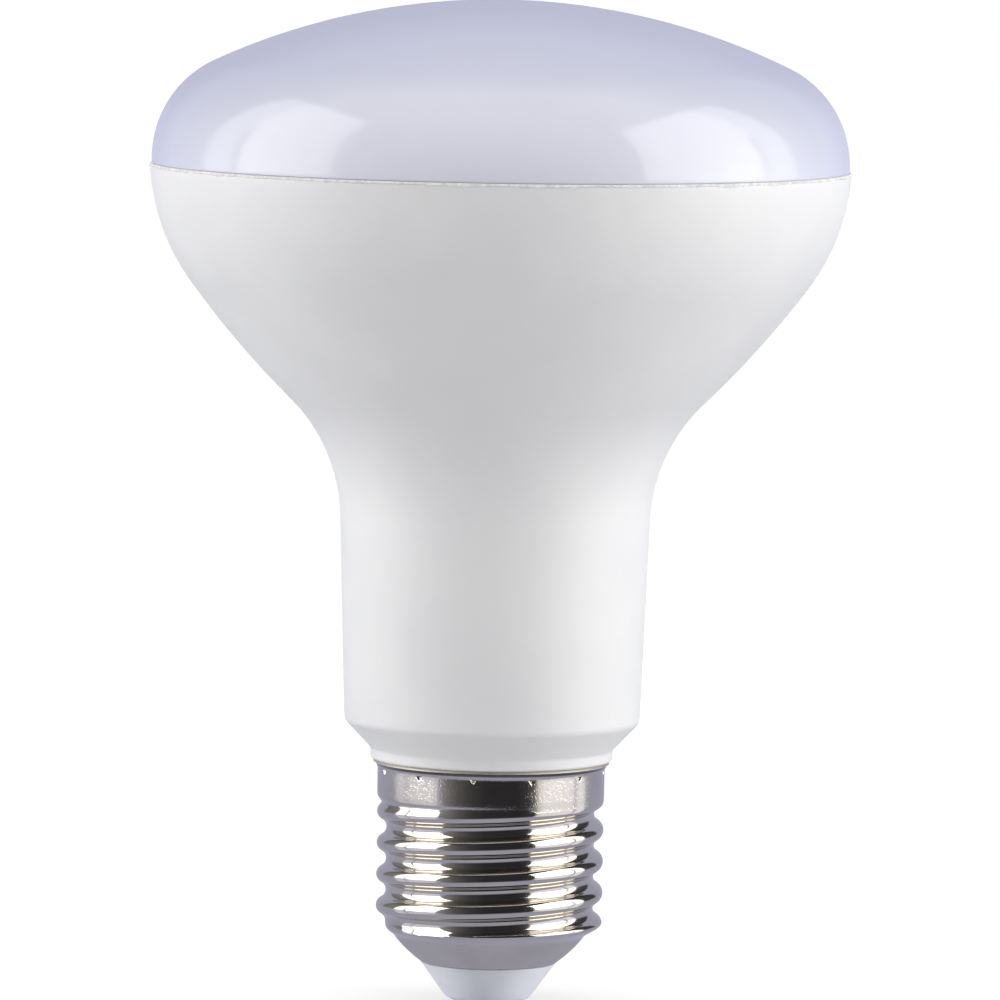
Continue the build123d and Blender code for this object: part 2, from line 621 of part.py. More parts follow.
def fuse_resistor():
    """Round fusible resistor on a wire that is bent into the board at both ends."""
    y = PART_SIDE - FUSE_STAND - FUSE_RADIUS
    (left, z), (right, _) = FUSE_HOLES
    tail = SOLDER_SIDE + LEAD_TAIL
    body = Pos(0, y, z) * Rot(0, 90, 0) * Cylinder(FUSE_RADIUS, FUSE_LENGTH)
    body = fillet(body.edges(), FUSE_RADIUS / 2)
    staple = [(left, tail, z), (left, y, z), (right, y, z), (right, tail, z)]
    return body + wire(staple, [LEAD_BEND, LEAD_BEND], LEAD_RADIUS)


def film_capacitor():
    """Dipped film capacitor on two straight leads."""
    y = PART_SIDE - FILM_HEIGHT / 2
    body = Pos(0, y, FLOOR_Z + FILM_Z) * Box(FILM_LENGTH, FILM_HEIGHT, FILM_WIDTH)
    body = fillet(body.edges().filter_by(Axis.Y) + body.faces().sort_by(Axis.Y)[0].edges(), FILM_FILLET)
    return body + straight_leads(FILM_HOLES, y)


def can(radius, length):
    """Capacitor can along Z with its base at the origin, crimped near the base and rounded at both ends."""
    crimp_z = 2 * CAN_EDGE + CAN_CRIMP
    body = Cylinder(radius, length, align=UPWARDS)
    body = fillet(body.edges().filter_by(GeomType.CIRCLE), CAN_EDGE)
    return body - Pos(0, 0, crimp_z) * Torus(radius, CAN_CRIMP)


def bulk_capacitor():
    """Electrolytic capacitor lying upright along the board, with its leads bent into the board."""
    y = PART_SIDE - CAN_STAND - BULK_RADIUS
    body = Pos(BULK_X, y, BULK_BASE) * can(BULK_RADIUS, BULK_LENGTH)
    tail = SOLDER_SIDE + LEAD_TAIL
    for x, z in BULK_HOLES:
        body += wire([(x, y, BULK_BASE + CAN_EDGE), (x, y, z), (x, tail, z)], [LEAD_BEND], LEAD_RADIUS)
    return body


def output_capacitor():
    """Electrolytic capacitor lying across the top of the board."""
    y = PART_SIDE - CAN_STAND - OUTPUT_RADIUS
    base = OUTPUT_LENGTH / 2
    body = Pos(base, y, PCB_TOP - OUTPUT_DROP) * Rot(0, -90, 0) * can(OUTPUT_RADIUS, OUTPUT_LENGTH)
    tail = SOLDER_SIDE + LEAD_TAIL
    for x, z in OUTPUT_HOLES:
        body += wire([(base - CAN_EDGE, y, z), (x, y, z), (x, tail, z)], [LEAD_BEND], LEAD_RADIUS)
    return body


def transformer_core():
    """Ferrite core with two windows beside its middle leg."""
    core = Box(CORE_WIDTH, CORE_DEPTH, CORE_HEIGHT)
    window = (CORE_WIDTH - CORE_LEG - 2 * CORE_OUTER_LEG) / 2
    middle = (CORE_LEG + window) / 2
    core -= [Pos(x, 0, 0) * Box(window, CORE_DEPTH, CORE_HEIGHT - 2 * CORE_YOKE) for x in (-middle, middle)]
    return Pos(CORE_X, COIL_Y, CORE_Z) * core


def transformer_coil():
    """Taped winding round the middle leg of the core, with four pins into the board."""
    height = CORE_HEIGHT - 2 * CORE_YOKE - 2 * COIL_CLEARANCE
    coil = Box(COIL_WIDTH, COIL_DEPTH, height)
    coil = fillet(coil.edges().filter_by(Axis.Z), COIL_FILLET)
    coil -= Box(CORE_LEG + 2 * COIL_CLEARANCE, CORE_DEPTH + 2 * COIL_CLEARANCE, height)
    coil = Pos(CORE_X, COIL_Y, CORE_Z) * coil
    return coil + straight_leads(COIL_HOLES, PART_SIDE - COIL_BUILD / 2)


def chip(x, z, size, leads):
    """Moulded chip on the solder side with flat leads left and right, evenly spaced."""
    width, thickness, height = size
    y = SOLDER_SIDE + CHIP_STAND
    body = Pos(x, y + thickness / 2, z) * Box(width, thickness, height)
    body = chamfer(body.faces().sort_by(Axis.Y)[-1].edges(), CHIP_CHAMFER)
    step = height / leads
    foot = Box(width + 2 * CHIP_FOOT, CHIP_LEAD, step / 2)
    rows = [(k + 0.5) * step - height / 2 for k in range(leads)]
    return body + [Pos(x, SOLDER_SIDE + CHIP_LEAD / 2, z + row) * foot for row in rows]


def bridge_rectifier():
    """Four-lead rectifier near the lower edge of the board."""
    return chip(0, FLOOR_Z + RECTIFIER_Z, RECTIFIER_SIZE, 2)


def driver_chip():
    """Eight-lead driver chip behind the transformer."""
    return chip(DRIVER_CHIP_X, PCB_TOP - DRIVER_CHIP_DROP, DRIVER_CHIP_SIZE, 4)


def output_diode():
    """Two-lead rectifier diode near the upper edge of the board."""
    return chip(0, PCB_TOP - DIODE_DROP, DIODE_SIZE, 1)


def chip_resistors():
    """Column of chip resistors on the solder side, beside the rectifier."""
    y = SOLDER_SIDE + RESISTOR_SIZE[1] / 2
    first = FLOOR_Z + RESISTOR_Z
    places = [Pos(RESISTOR_X, y, first + k * RESISTOR_SPACING) for k in range(RESISTORS)]
    return Compound([(place * Box(*RESISTOR_SIZE)).solid() for place in places])


def live_wire():
    """Wire from the nail up the spigot to the solder side of the driver board."""
    rise = (FLOOR_Z - NAIL_Z) / 3
    points = [
        (0, 0, NAIL_Z),
        (0, 0, NAIL_Z + rise),
        (LIVE_X, WIRE_Y, FLOOR_Z - rise),
        (LIVE_X, WIRE_Y, FLOOR_Z + WIRE_LAP),
    ]
    turn = math.atan2(math.hypot(LIVE_X, WIRE_Y), rise)
    bend = BEND_SHARE * rise / math.tan(turn / 2)
    return wire(points, [bend, bend], WIRE_RADIUS)


def neutral_wire():
    """Wire from the driver board down the spigot and out through its notch to the screw shell."""
    reach = math.sqrt((SPIGOT_RADIUS + SPIGOT_CLEARANCE / 2) ** 2 - (WIRE_Y + WIRE_RADIUS) ** 2)
    points = [
        (NEUTRAL_X, WIRE_Y, FLOOR_Z + WIRE_LAP),
        (NEUTRAL_X, WIRE_Y, TAP_Z),
        (reach, WIRE_Y, TAP_Z),
    ]
    return wire(points, [NEUTRAL_BEND], WIRE_RADIUS)


PIECES = [
    diffuser_dome,
    rim_sealant,
    housing,
    screw_shell,
    cap_insulator,
    centre_contact,
    heat_spreader,
    led_board,
    board_screws,
    led_socket,
    output_pins,
    driver_board,
    fuse_resistor,
    film_capacitor,
    bulk_capacitor,
    output_capacitor,
    transformer_core,
    transformer_coil,
    bridge_rectifier,
    driver_chip,
    output_diode,
    chip_resistors,
    live_wire,
    neutral_wire,
]


def main():
    """Write each piece to its own file in parts."""
    os.makedirs("parts", exist_ok=True)
    solids = {piece.__name__: piece() for piece in PIECES}
    solids.update(leds())
    for name, solid in solids.items():
        export_step(solid, f"parts/{name}.step")


main()
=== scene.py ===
import json
import logging
import math
from collections.abc import Iterator
from contextlib import contextmanager
from dataclasses import dataclass
from enum import Enum
from typing import Any

import bpy
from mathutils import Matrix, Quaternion, Vector, noise


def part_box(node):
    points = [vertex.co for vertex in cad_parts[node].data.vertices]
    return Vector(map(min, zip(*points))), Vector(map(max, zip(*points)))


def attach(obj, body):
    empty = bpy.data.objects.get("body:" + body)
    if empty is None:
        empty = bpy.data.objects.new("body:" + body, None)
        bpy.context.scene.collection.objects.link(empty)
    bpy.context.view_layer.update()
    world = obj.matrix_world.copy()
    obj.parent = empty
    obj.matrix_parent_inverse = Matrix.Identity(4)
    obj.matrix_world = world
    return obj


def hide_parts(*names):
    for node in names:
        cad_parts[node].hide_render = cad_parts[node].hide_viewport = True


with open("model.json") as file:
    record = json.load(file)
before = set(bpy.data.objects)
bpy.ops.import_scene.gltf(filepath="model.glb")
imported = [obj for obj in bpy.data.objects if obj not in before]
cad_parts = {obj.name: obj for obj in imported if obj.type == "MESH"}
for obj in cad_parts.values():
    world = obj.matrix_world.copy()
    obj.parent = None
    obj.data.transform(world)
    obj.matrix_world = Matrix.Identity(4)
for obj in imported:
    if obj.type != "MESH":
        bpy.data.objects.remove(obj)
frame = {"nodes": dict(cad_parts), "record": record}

log = logging.getLogger("reflector_lamp")

# An LED reflector lamp that stands on its contact, with the cap down and the opal diffuser up.
# Outlines are drawn in millimetres as (r, z), and meshes are in metres.
MM = 0.001
ROUND = 192               # faces round a turned piece
SMOOTH_ANGLE = 32.0       # degrees between faces that still shade as one surface
MERGE = MM / 500          # points nearer than this are one
WHITE = "#FFFFFF"

Point = tuple[float, float]
Place = tuple[float, float, float]
Box = tuple[Vector, Vector]
Mesh = bpy.types.Object
Tree = bpy.types.NodeTree
Socket = bpy.types.NodeSocket


class Slot(Enum):
    """Material slots of the lamp, as its record names them."""

    OPAL = "opal_cover"
    SEALANT = "white_sealant"
    HOUSING = "white_housing"
    NICKEL = "nickel_shell"
    INSULATOR = "pale_insulator"
    CONTACT = "contact_brass"
    SPREADER = "pressed_aluminium"
    LED_BOARD = "white_board"
    SCREWS = "zinc_screws"
    SOCKET = "natural_nylon"
    PINS = "tinned_brass"
    DRIVER_BOARD = "glass_fibre_board"
    RESISTOR = "resistor_lacquer"
    FILM = "dipped_resin"
    CAN = "can_sleeve"
    FERRITE = "ferrite"
    TAPE = "winding_tape"
    CHIP = "chip_resin"
    CHIP_RESISTOR = "chip_ceramic"
    LIVE = "live_sleeve"
    NEUTRAL = "neutral_sleeve"
    LED = "led_resin"


class Side(Enum):
    """Sides of the studio, as seen by the camera."""

    LEFT = -1
    RIGHT = 1


def linear(code: str) -> tuple[float, float, float, float]:
    """Turn an sRGB hex code into linear colour.

    Args:
        code: Six hex digits after a hash.

    Returns:
        Red, green, blue and a full alpha.
    """
    shares = [int(code[k : k + 2], 16) / 255 for k in (1, 3, 5)]
    red, green, blue = (s / 12.92 if s <= 0.04045 else ((s + 0.055) / 1.055) ** 2.4 for s in shares)
    return red, green, blue, 1.0


def per_mm(size: float) -> float:
    """Scale of a texture whose features are this many millimetres across."""
    return 1 / (size * MM)


def eased(share: float) -> float:
    """Smooth step from 0 to 1."""
    share = min(max(share, 0.0), 1.0)
    return share * share * (3 - 2 * share)


def away(slope: float) -> Vector:
    """Direction in (r, z), square to and away from a wall that leans out by a slope in degrees."""
    return Vector((math.cos(math.radians(slope)), -math.sin(math.radians(slope))))


def arc(centre: Point | Vector, radius: float, start: float, end: float, steps: int) -> list[Point]:
    """Draw an arc in (r, z).

    Args:
        centre: Middle of the arc.
        radius: Radius of the arc.
        start: Direction of its first point, in degrees from +r towards +z.
        end: Direction of its last point.
        steps: Number of straight pieces.

    Returns:
        Points from start to end.
    """
    turns = (math.radians(start + (end - start) * k / steps) for k in range(steps + 1))
    return [(centre[0] + radius * math.cos(t), centre[1] + radius * math.sin(t)) for t in turns]


def rounded(before: Point, corner: Point, after: Point, radius: float, steps: int = 6) -> list[Point]:
    """Round a corner of an outline off.

    Args:
        before: Point on the run into the corner.
        corner: The sharp corner.
        after: Point on the run out of it.
        radius: Radius of the round, tangent to both runs.
        steps: Number of straight pieces.

    Returns:
        Points of the round.
    """
    tip = Vector(corner)
    into, out = (Vector(before) - tip).normalized(), (Vector(after) - tip).normalized()
    half = into.angle(out) / 2
    middle = (into + out).normalized()
    centre = tip + middle * (radius / math.sin(half))
    start = tip + into * (radius / math.tan(half)) - centre
    sweep = math.copysign(math.pi - 2 * half, start.x * -middle.y - start.y * -middle.x)
    turns = [math.atan2(start.y, start.x) + sweep * k / steps for k in range(steps + 1)]
    return [(centre.x + radius * math.cos(t), centre.y + radius * math.sin(t)) for t in turns]


def choose(*pieces: Mesh) -> None:
    """Select these pieces alone, with the last of them active.

    Args:
        pieces: The pieces, or none to leave the selection empty.
    """
    bpy.ops.object.select_all(action="DESELECT")
    for piece in pieces:
        piece.select_set(True)
        bpy.context.view_layer.objects.active = piece


@contextmanager
def editing(piece: Mesh) -> Iterator[None]:
    """Edit a piece, with all of it selected at first.

    Args:
        piece: The piece.

    Returns:
        A context, at whose end the piece is back in object mode.
    """
    choose(piece)
    bpy.ops.object.mode_set(mode="EDIT")
    bpy.ops.mesh.select_all(action="SELECT")
    yield
    bpy.ops.object.mode_set(mode="OBJECT")


def put(vertex: bpy.types.MeshVertex, radius: float, z: float) -> None:
    """Move a vertex to a radius and a height, in its own direction from the axis.

    Args:
        vertex: The vertex.
        radius: New radius in mm.
        z: New height in mm.
    """
    x, y, _ = vertex.co / MM
    scale = radius / math.hypot(x, y)
    vertex.co = Vector((x * scale, y * scale, z)) * MM


def turned(name: str, outline: list[Point], faces: int = ROUND) -> Mesh:
    """Turn an outline about Z, as on a lathe.

    Args:
        name: Name of the piece.
        outline: Points in (r, z), in millimetres. A closed one ends on its first point.
        faces: Number of faces round the piece.

    Returns:
        The turned piece, with its place in its mesh.
    """
    choose()
    radius, height = outline[0]
    bpy.ops.mesh.primitive_plane_add(size=MM, location=(radius * MM, 0, height * MM))
    piece = bpy.context.object
    piece.name = piece.data.name = name
    bpy.ops.object.transform_apply(location=True)
    with editing(piece):
        bpy.ops.mesh.merge(type="CENTER")
        for (r0, z0), (r1, z1) in zip(outline, outline[1:]):
            step = ((r1 - r0) * MM, 0, (z1 - z0) * MM)
            bpy.ops.mesh.extrude_vertices_move(TRANSFORM_OT_translate={"value": step})
        bpy.ops.mesh.select_all(action="SELECT")
        bpy.ops.mesh.spin(steps=faces, angle=math.tau, center=(0, 0, 0), axis=(0, 0, 1))
        bpy.ops.mesh.select_all(action="SELECT")
        bpy.ops.mesh.remove_doubles(threshold=MERGE)
        bpy.ops.mesh.normals_make_consistent(inside=False)
    return piece


def face_outwards(piece: Mesh) -> None:
    """Turn the faces of an open turned sheet away from its axis.

    Args:
        piece: The sheet.
    """
    outwards = sum(face.normal.xy.dot(face.center.xy) * face.area for face in piece.data.polygons)
    if outwards < 0:
        with editing(piece):
            bpy.ops.mesh.flip_normals()


def smooth(piece: Mesh) -> None:
    """Shade a piece smoothly across all but its sharp edges.

    Args:
        piece: The piece.
    """
    choose(piece)
    bpy.ops.object.shade_smooth_by_angle(angle=math.radians(SMOOTH_ANGLE))


def finish_with(piece: Mesh, kind: str, **settings: Any) -> None:
    """Add a modifier to a piece and apply it.

    Args:
        piece: The piece.
        kind: Blender's type of modifier.
        settings: Properties of the modifier.
    """
    modifier = piece.modifiers.new(kind.title(), kind)
    for key, value in settings.items():
        setattr(modifier, key, value)
    choose(piece)
    bpy.ops.object.modifier_apply(modifier=modifier.name)


def add(
    tree: Tree,
    kind: str,
    sockets: dict | None = None,
    stops: list | None = None,
    out: str | int = 0,
    **traits: Any,
) -> Socket | None:
    """Add a shader node.

    Args:
        tree: Node tree of a material or of the world.
        kind: Type of the node, without its usual prefix.
        sockets: Input values and links, by the name or number of the input.
        stops: Places and colours of a colour ramp.
        out: Name or number of the output that is wanted.
        traits: Properties of the node.

    Returns:
        That output, or nothing from the last node of a tree.
    """
    made = tree.nodes.new(f"ShaderNode{kind}")
    for key, value in traits.items():
        setattr(made, key, value)
    for key, value in (sockets or {}).items():
        if isinstance(value, Socket):
            tree.links.new(value, made.inputs[key])
        else:
            made.inputs[key].default_value = value
    if stops:
        elements = made.color_ramp.elements
        while len(elements) < len(stops):
            elements.new(1.0)
        for element, (place, colour) in zip(elements, stops):
            element.position, element.color = place, colour
    return made.outputs[out] if made.outputs else None


@dataclass(frozen=True)
class Finish:
    """A surface with mottled colour, uneven gloss and a fine relief."""

    name: str
    pale: str
    deep: str
    roughness: float
    metallic: float = 0.0
    ior: float = 1.5
    mottle: float = 5.0       # size of the colour patches in mm
    mottle_span: Point = (0.35, 0.65)  # stretch of the patches' noise from the deep to the pale colour
    grain: float = 0.4        # size of the relief in mm
    relief: float = 0.004     # height of the relief in mm
    gloss_spread: float = 0.06
    gloss_least: float = 0.02
    second: str = WHITE       # colour that takes over a share of the surface

    def share(self, tree: Tree, place: Socket) -> Socket | float:
        """Share of the second colour."""
        return 0.0

    def colour(self, tree: Tree, place: Socket) -> Socket:
        """Colour over the surface.

        Args:
            tree: Node tree of the material.
            place: Object coordinates.

        Returns:
            Colour output.
        """
        patches = add(tree, "TexNoise", {"Vector": place, "Scale": per_mm(self.mottle), "Detail": 3.0})
        stops = list(zip(self.mottle_span, (linear(self.deep), linear(self.pale))))
        plain = add(tree, "ValToRGB", {"Fac": patches}, stops)
        mixed = {"Factor": self.share(tree, place), 6: plain, 7: linear(self.second)}
        return add(tree, "Mix", mixed, out=2, data_type="RGBA")

    def gloss(self, tree: Tree, place: Socket) -> Socket:
        """Roughness over the surface.

        Args:
            tree: Node tree of the material.
            place: Object coordinates.

        Returns:
            Roughness output.
        """
        patches = add(tree, "TexNoise", {"Vector": place, "Scale": per_mm(self.mottle / 2), "Detail": 2.0})
        low, high = self.roughness - self.gloss_spread, self.roughness + self.gloss_spread
        spread = {"Value": patches, "To Min": max(low, self.gloss_least), "To Max": high}
        return add(tree, "MapRange", spread)

    def bump(self, tree: Tree, place: Socket) -> Socket:
        """Relief of the surface.

        Args:
            tree: Node tree of the material.
            place: Object coordinates.

        Returns:
            Normal output.
        """
        grain = add(tree, "TexNoise", {"Vector": place, "Scale": per_mm(self.grain), "Detail": 4.0})
        relief = {"Height": grain, "Distance": self.relief * MM}
        return add(tree, "Bump", relief)

    def extras(self, tree: Tree, place: Socket) -> dict[str, Any]:
        """Further values and links for the shader."""
        return {}

    def material(self) -> bpy.types.Material:
        """Make the material.

        Returns:
            The material, named for what the surface is.
        """
        made = bpy.data.materials.new(self.name)
        made.use_nodes = True
        tree = made.node_tree
        tree.nodes.clear()
        place = add(tree, "TexCoord", out="Object")
        sockets = {
            "Base Color": self.colour(tree, place),
            "Roughness": self.gloss(tree, place),
            "Normal": self.bump(tree, place),
            "Metallic": self.metallic,
            "IOR": self.ior,
            **self.extras(tree, place),
        }
        shader = add(tree, "BsdfPrincipled", sockets)
        add(tree, "OutputMaterial", {"Surface": shader})
        return made


@dataclass(frozen=True)
class OpalFinish(Finish):
    """Opal plastic: light spreads through it and evens its shade, a painted shade darkens it where it turns
    from the eye, and a clear skin mirrors softly.
    """

    spread: float = 0.5       # how far the light from all round the piece evens its shade out
    second: str = "#C6C9DC"   # painted shade, darker and bluer where the surface turns away from the eye
    painted_edge_shade_first: float = 0.30  # turn away from the eye where that painted shade begins and where it is full
    painted_edge_shade_full: float = 0.80
    skin_first: float = 0.40  # turn away from the eye where fine peel begins to break the skin's mirror up
    skin_last: float = 0.66
    skin_left: float = 0.15   # share of the mirror that is left

    def share(self, tree: Tree, place: Socket) -> Socket:
        """Share of the painted shade, which grows where the surface turns away from the eye.

        Args:
            tree: Node tree of the material.
            place: Object coordinates, not used.

        Returns:
            Share output.
        """
        # Painted shade: the colour darkens where the surface turns away from the eye
        turn = add(tree, "LayerWeight", out="Facing")
        return add(tree, "MapRange", {"Value": turn, "From Min": self.painted_edge_shade_first, "From Max": self.painted_edge_shade_full})

    def bump(self, tree: Tree, place: Socket) -> Socket:
        """Normal of the opal body, turned towards +Z as far as the light spreads.

        Args:
            tree: Node tree of the material.
            place: Object coordinates, not used.

        Returns:
            Normal output.
        """
        lean = {0: add(tree, "TexCoord", out="Normal"), 1: (0.0, 0.0, self.spread)}
        even = add(tree, "VectorMath", lean, operation="ADD")
        space = {"vector_type": "NORMAL", "convert_from": "OBJECT"}
        return add(tree, "VectorTransform", {"Vector": even}, **space)

    def extras(self, tree: Tree, place: Socket) -> dict[str, Any]:
        """Clear skin on top of the opal body.

        Args:
            tree: Node tree of the material.
            place: Object coordinates.

        Returns:
            Values and links for the shader.
        """
        fade = {
            "Value": add(tree, "LayerWeight", out="Facing"),
            "From Min": self.skin_first,
            "From Max": self.skin_last,
            "To Min": 1.0,
            "To Max": self.skin_left,
        }
        return {
            "Specular IOR Level": 0.0,
            "Coat Weight": add(tree, "MapRange", fade),
            "Coat IOR": self.ior,
            "Coat Roughness": self.gloss(tree, place),
            "Coat Normal": super().bump(tree, place),
        }


@dataclass(frozen=True)
class HousingFinish(Finish):
    """White PBT from a finely eroded tool: an even satin, with a few specks of dust in it."""

    speck_cell: float = 5.0   # one speck at most in each cell of this size, in mm
    speck_radius: float = 0.11
    speck_share: float = 0.35 # share of the cells that hold a speck
    second: str = "#8C8A8E"   # specks

    def share(self, tree: Tree, place: Socket) -> Socket:
        """Share of the specks.

        Args:
            tree: Node tree of the material.
            place: Object coordinates.

        Returns:
            Share output.
        """
        cells = add(tree, "TexVoronoi", {"Vector": place, "Scale": per_mm(self.speck_cell)})
        edge = self.speck_radius / self.speck_cell
        inside = add(tree, "MapRange", {"Value": cells, "From Min": edge, "From Max": edge / 2})
        held = add(tree, "SeparateColor", {"Color": cells.node.outputs["Color"]})
        chosen = add(tree, "Math", {0: held, 1: self.speck_share}, operation="LESS_THAN")
        return add(tree, "Math", {0: inside, 1: chosen}, operation="MULTIPLY")


@dataclass(frozen=True)
class NickelFinish(Finish):
    """Bright nickel on rolled sheet: a mirror with a fine orange peel, dull on the cone below the thread.

    Heights are in millimetres.
    """

    cone_top: float = 7.9     # end of the dull cone
    cone_run: float = 0.5
    cone_roughness: float = 0.42
    edge_foot: float = 27.71  # foot of the lip's cut edge, which begins sharply
    edge_run: float = 0.001
    edge_roughness: float = 0.5
    second: str = "#4A4944"   # painted shade in the hollow under the lip
    painted_shade_foot: float = 27.28
    painted_shade_run: float = 0.125
    painted_shade_share: float = 0.85
    collar_foot: float = 22.9 # foot of the plain collar, whose skin is finely pitted
    collar_run: float = 0.6
    collar_roughness: float = 0.15
    pit: float = 0.26         # distance between pits
    pit_width: float = 0.38   # share of that distance which a pit reaches from its middle
    pit_depth: float = 0.010

    def zone(self, tree: Tree, place: Socket, start: float, end: float) -> Socket:
        """Share of a zone, which grows from none at one height to all of it at another.

        Args:
            tree: Node tree of the material.
            place: Object coordinates.
            start: Height where the zone begins.
            end: Height where it is full.

        Returns:
            Share output.
        """
        height = add(tree, "SeparateXYZ", {"Vector": place}, out="Z")
        growth = {"Value": height, "From Min": start * MM, "From Max": end * MM}
        return add(tree, "MapRange", growth)

    def bump(self, tree: Tree, place: Socket) -> Socket:
        """Relief of the surface, with pits in the collar.

        Args:
            tree: Node tree of the material.
            place: Object coordinates.

        Returns:
            Normal output.
        """
        cells = add(tree, "TexVoronoi", {"Vector": place, "Scale": per_mm(self.pit)})
        pits = {
            "Height": add(tree, "MapRange", {"Value": cells, "From Max": self.pit_width}),
            "Strength": self.zone(tree, place, self.collar_foot, self.collar_foot + self.collar_run),
            "Distance": self.pit_depth * MM,
            "Normal": super().bump(tree, place),
        }
        return add(tree, "Bump", pits)

    def share(self, tree: Tree, place: Socket) -> Socket:
        """Share of the painted shade in the hollow under the lip.

        Args:
            tree: Node tree of the material.
            place: Object coordinates.

        Returns:
            Share output.
        """
        # Painted shade: a dark band in the hollow under the lip, up to its cut edge
        above = self.zone(tree, place, self.painted_shade_foot, self.painted_shade_foot + self.painted_shade_run)
        below = self.zone(tree, place, self.edge_foot, self.edge_foot - self.edge_run)
        hollow = add(tree, "Math", {0: above, 1: below}, operation="MULTIPLY")
        return add(tree, "Math", {0: hollow, 1: self.painted_shade_share}, operation="MULTIPLY")

    def gloss(self, tree: Tree, place: Socket) -> Socket:
        """Roughness over the surface, higher on the cone, on the collar and on the lip's cut edge.

        Args:
            tree: Node tree of the material.
            place: Object coordinates.

        Returns:
            Roughness output.
        """
        zones = (
            (self.cone_top, self.cone_top - self.cone_run, self.cone_roughness),
            (self.edge_foot, self.edge_foot + self.edge_run, self.edge_roughness),
            (self.collar_foot, self.collar_foot + self.collar_run, self.collar_roughness),
        )
        rough = super().gloss(tree, place)
        for start, end, level in zones:
            share = self.zone(tree, place, start, end)
            dull = add(tree, "Math", {0: share, 1: level}, operation="MULTIPLY")
            rough = add(tree, "Math", {0: rough, 1: dull}, operation="MAXIMUM")
        return rough


@dataclass(frozen=True)
class LedFinish(Finish):
    """LED package: a white frame round a window of yellow phosphor resin."""

    second: str = "#E8C43A"   # resin
    floor: float = 90.8       # height of the resin in the window, in mm
    floor_slack: float = 0.02

    def share(self, tree: Tree, place: Socket) -> Socket:
        """Share of the resin, on the floor of the window.

        Args:
            tree: Node tree of the material.
            place: Object coordinates.

        Returns:
            Share output.
        """
        height = add(tree, "SeparateXYZ", {"Vector": place}, out="Z")
        near = {0: height, 1: self.floor * MM, 2: self.floor_slack * MM}
        return add(tree, "Math", near, operation="COMPARE")


# Finishes of the pieces that show

# Moulded in a polished tool: milky and deep, with soft-edged mirrored panels on top, and a painted shade
# where it turns away from the eye
OPAL = OpalFinish(
    "opal polycarbonate, polished tool", "#E7E8F1", "#E3E4EE", 0.13, ior=1.46, mottle=18.0, relief=0.0004
)
# Moulded in a finely eroded tool: a satin that spreads every highlight out, with a few dark specks
HOUSING = HousingFinish(
    "white PBT, satin moulded", "#EAEAE8", "#E6E6E5", 0.48, ior=1.55, mottle=14.0, relief=0.003
)
# Squeezed out and torn off: a matt white crumb that catches light and shade in turn
SEALANT = Finish(
    "white silicone, torn edge", "#EFEEEA", "#D8D6D2", 0.6, ior=1.41, mottle=0.7, grain=0.3, relief=0.02
)
# Plated on rolled sheet: a warm mirror that draws the room out into bands on the thread
NICKEL = NickelFinish(
    "bright nickel on rolled sheet", "#DAD3C6", "#D2CBBF", 0.09, metallic=1.0, grain=0.16, relief=0.0022
)
# Moulded without pigment: a pale body that glows a little, with a dull skin and a painted shade where it
# turns away from the eye
INSULATOR = OpalFinish(
    "natural polyamide, moulded", "#E6E8F0", "#DFE1EA", 0.38, ior=1.53, mottle=4.0, second="#DADCE6"
)
# Pressed and thinly tinned: yellowish metal with a blurred sheen
CONTACT = Finish("pressed brass, tinned thin", "#C9B27E", "#B59C66", 0.3, metallic=1.0, mottle=2.0, grain=0.2)

# Finishes of the solids inside
INSIDE = {
    # Metals: grey sheet with a broad sheen, brighter screws, and pins with a warm tint
    Slot.SPREADER: Finish("pressed aluminium sheet", "#CFD0D2", "#B9BABD", 0.38, metallic=1.0, mottle=3.0),
    Slot.SCREWS: Finish("zinc plated steel", "#C6C8CC", "#A5A7AB", 0.32, metallic=1.0, mottle=1.0),
    Slot.PINS: Finish("tinned brass", "#CBC6BA", "#B4AE9F", 0.28, metallic=1.0, mottle=1.0),
    # Boards: a smooth lacquer, white to throw light forwards or green over the glass cloth
    Slot.LED_BOARD: Finish("white solder mask", "#F0F0EC", "#E4E4E0", 0.35, mottle=8.0),
    Slot.DRIVER_BOARD: Finish("green solder mask on glass fibre", "#2F6B33", "#24562A", 0.35, mottle=2.5),
    # Lacquered, dipped and sleeved parts: deep colours, from dull to glossy
    Slot.RESISTOR: Finish("grey-blue resistor lacquer", "#7D9CA3", "#6A8890", 0.5, mottle=1.5),
    Slot.FILM: Finish("dipped red-brown resin", "#8A3A26", "#74301F", 0.25, mottle=2.0),
    Slot.CAN: Finish("shrunk dark sleeve", "#2A2D3A", "#1F222D", 0.3, mottle=2.0),
    Slot.TAPE: Finish("yellow polyester tape", "#D9B23C", "#C79F2C", 0.3, mottle=3.0),
    Slot.LIVE: Finish("red extruded sleeve", "#B2302A", "#9C2722", 0.4, mottle=2.0),
    Slot.NEUTRAL: Finish("black extruded sleeve", "#2C2E34", "#212328", 0.4, mottle=2.0),
    # Moulded and fired parts: dark and matt, dark and glazed, or pale and waxy
    Slot.SOCKET: Finish("natural nylon", "#E4DFCF", "#D8D2C0", 0.45, mottle=2.0),
    Slot.FERRITE: Finish("sintered ferrite", "#3B3B3D", "#2C2C2E", 0.7, mottle=0.8),
    Slot.CHIP: Finish("black moulding resin", "#26262A", "#1C1C1F", 0.55, mottle=0.8),
    Slot.CHIP_RESISTOR: Finish("glazed chip ceramic", "#2B2A2C", "#1B1B1D", 0.3, mottle=0.8),
    # Light sources: a yellow window in a white frame
    Slot.LED: LedFinish("phosphor resin in a white frame", "#F1F0EA", "#E6E4DC", 0.4, mottle=1.0),
}


def seat(piece: Mesh, finish: Finish, slot: Slot, *nodes: str) -> None:
    """Finish a piece and fix it to the lamp in place of its solids.

    Args:
        piece: The piece.
        finish: Its finish.
        slot: Material slot that the finish belongs to, not used.
        nodes: Solids that it stands for.
    """
    piece.data.materials.append(finish.material())
    smooth(piece)
    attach(piece, "root")
    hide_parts(*nodes)
    log.info("%s: %d faces", piece.name, len(piece.data.polygons))


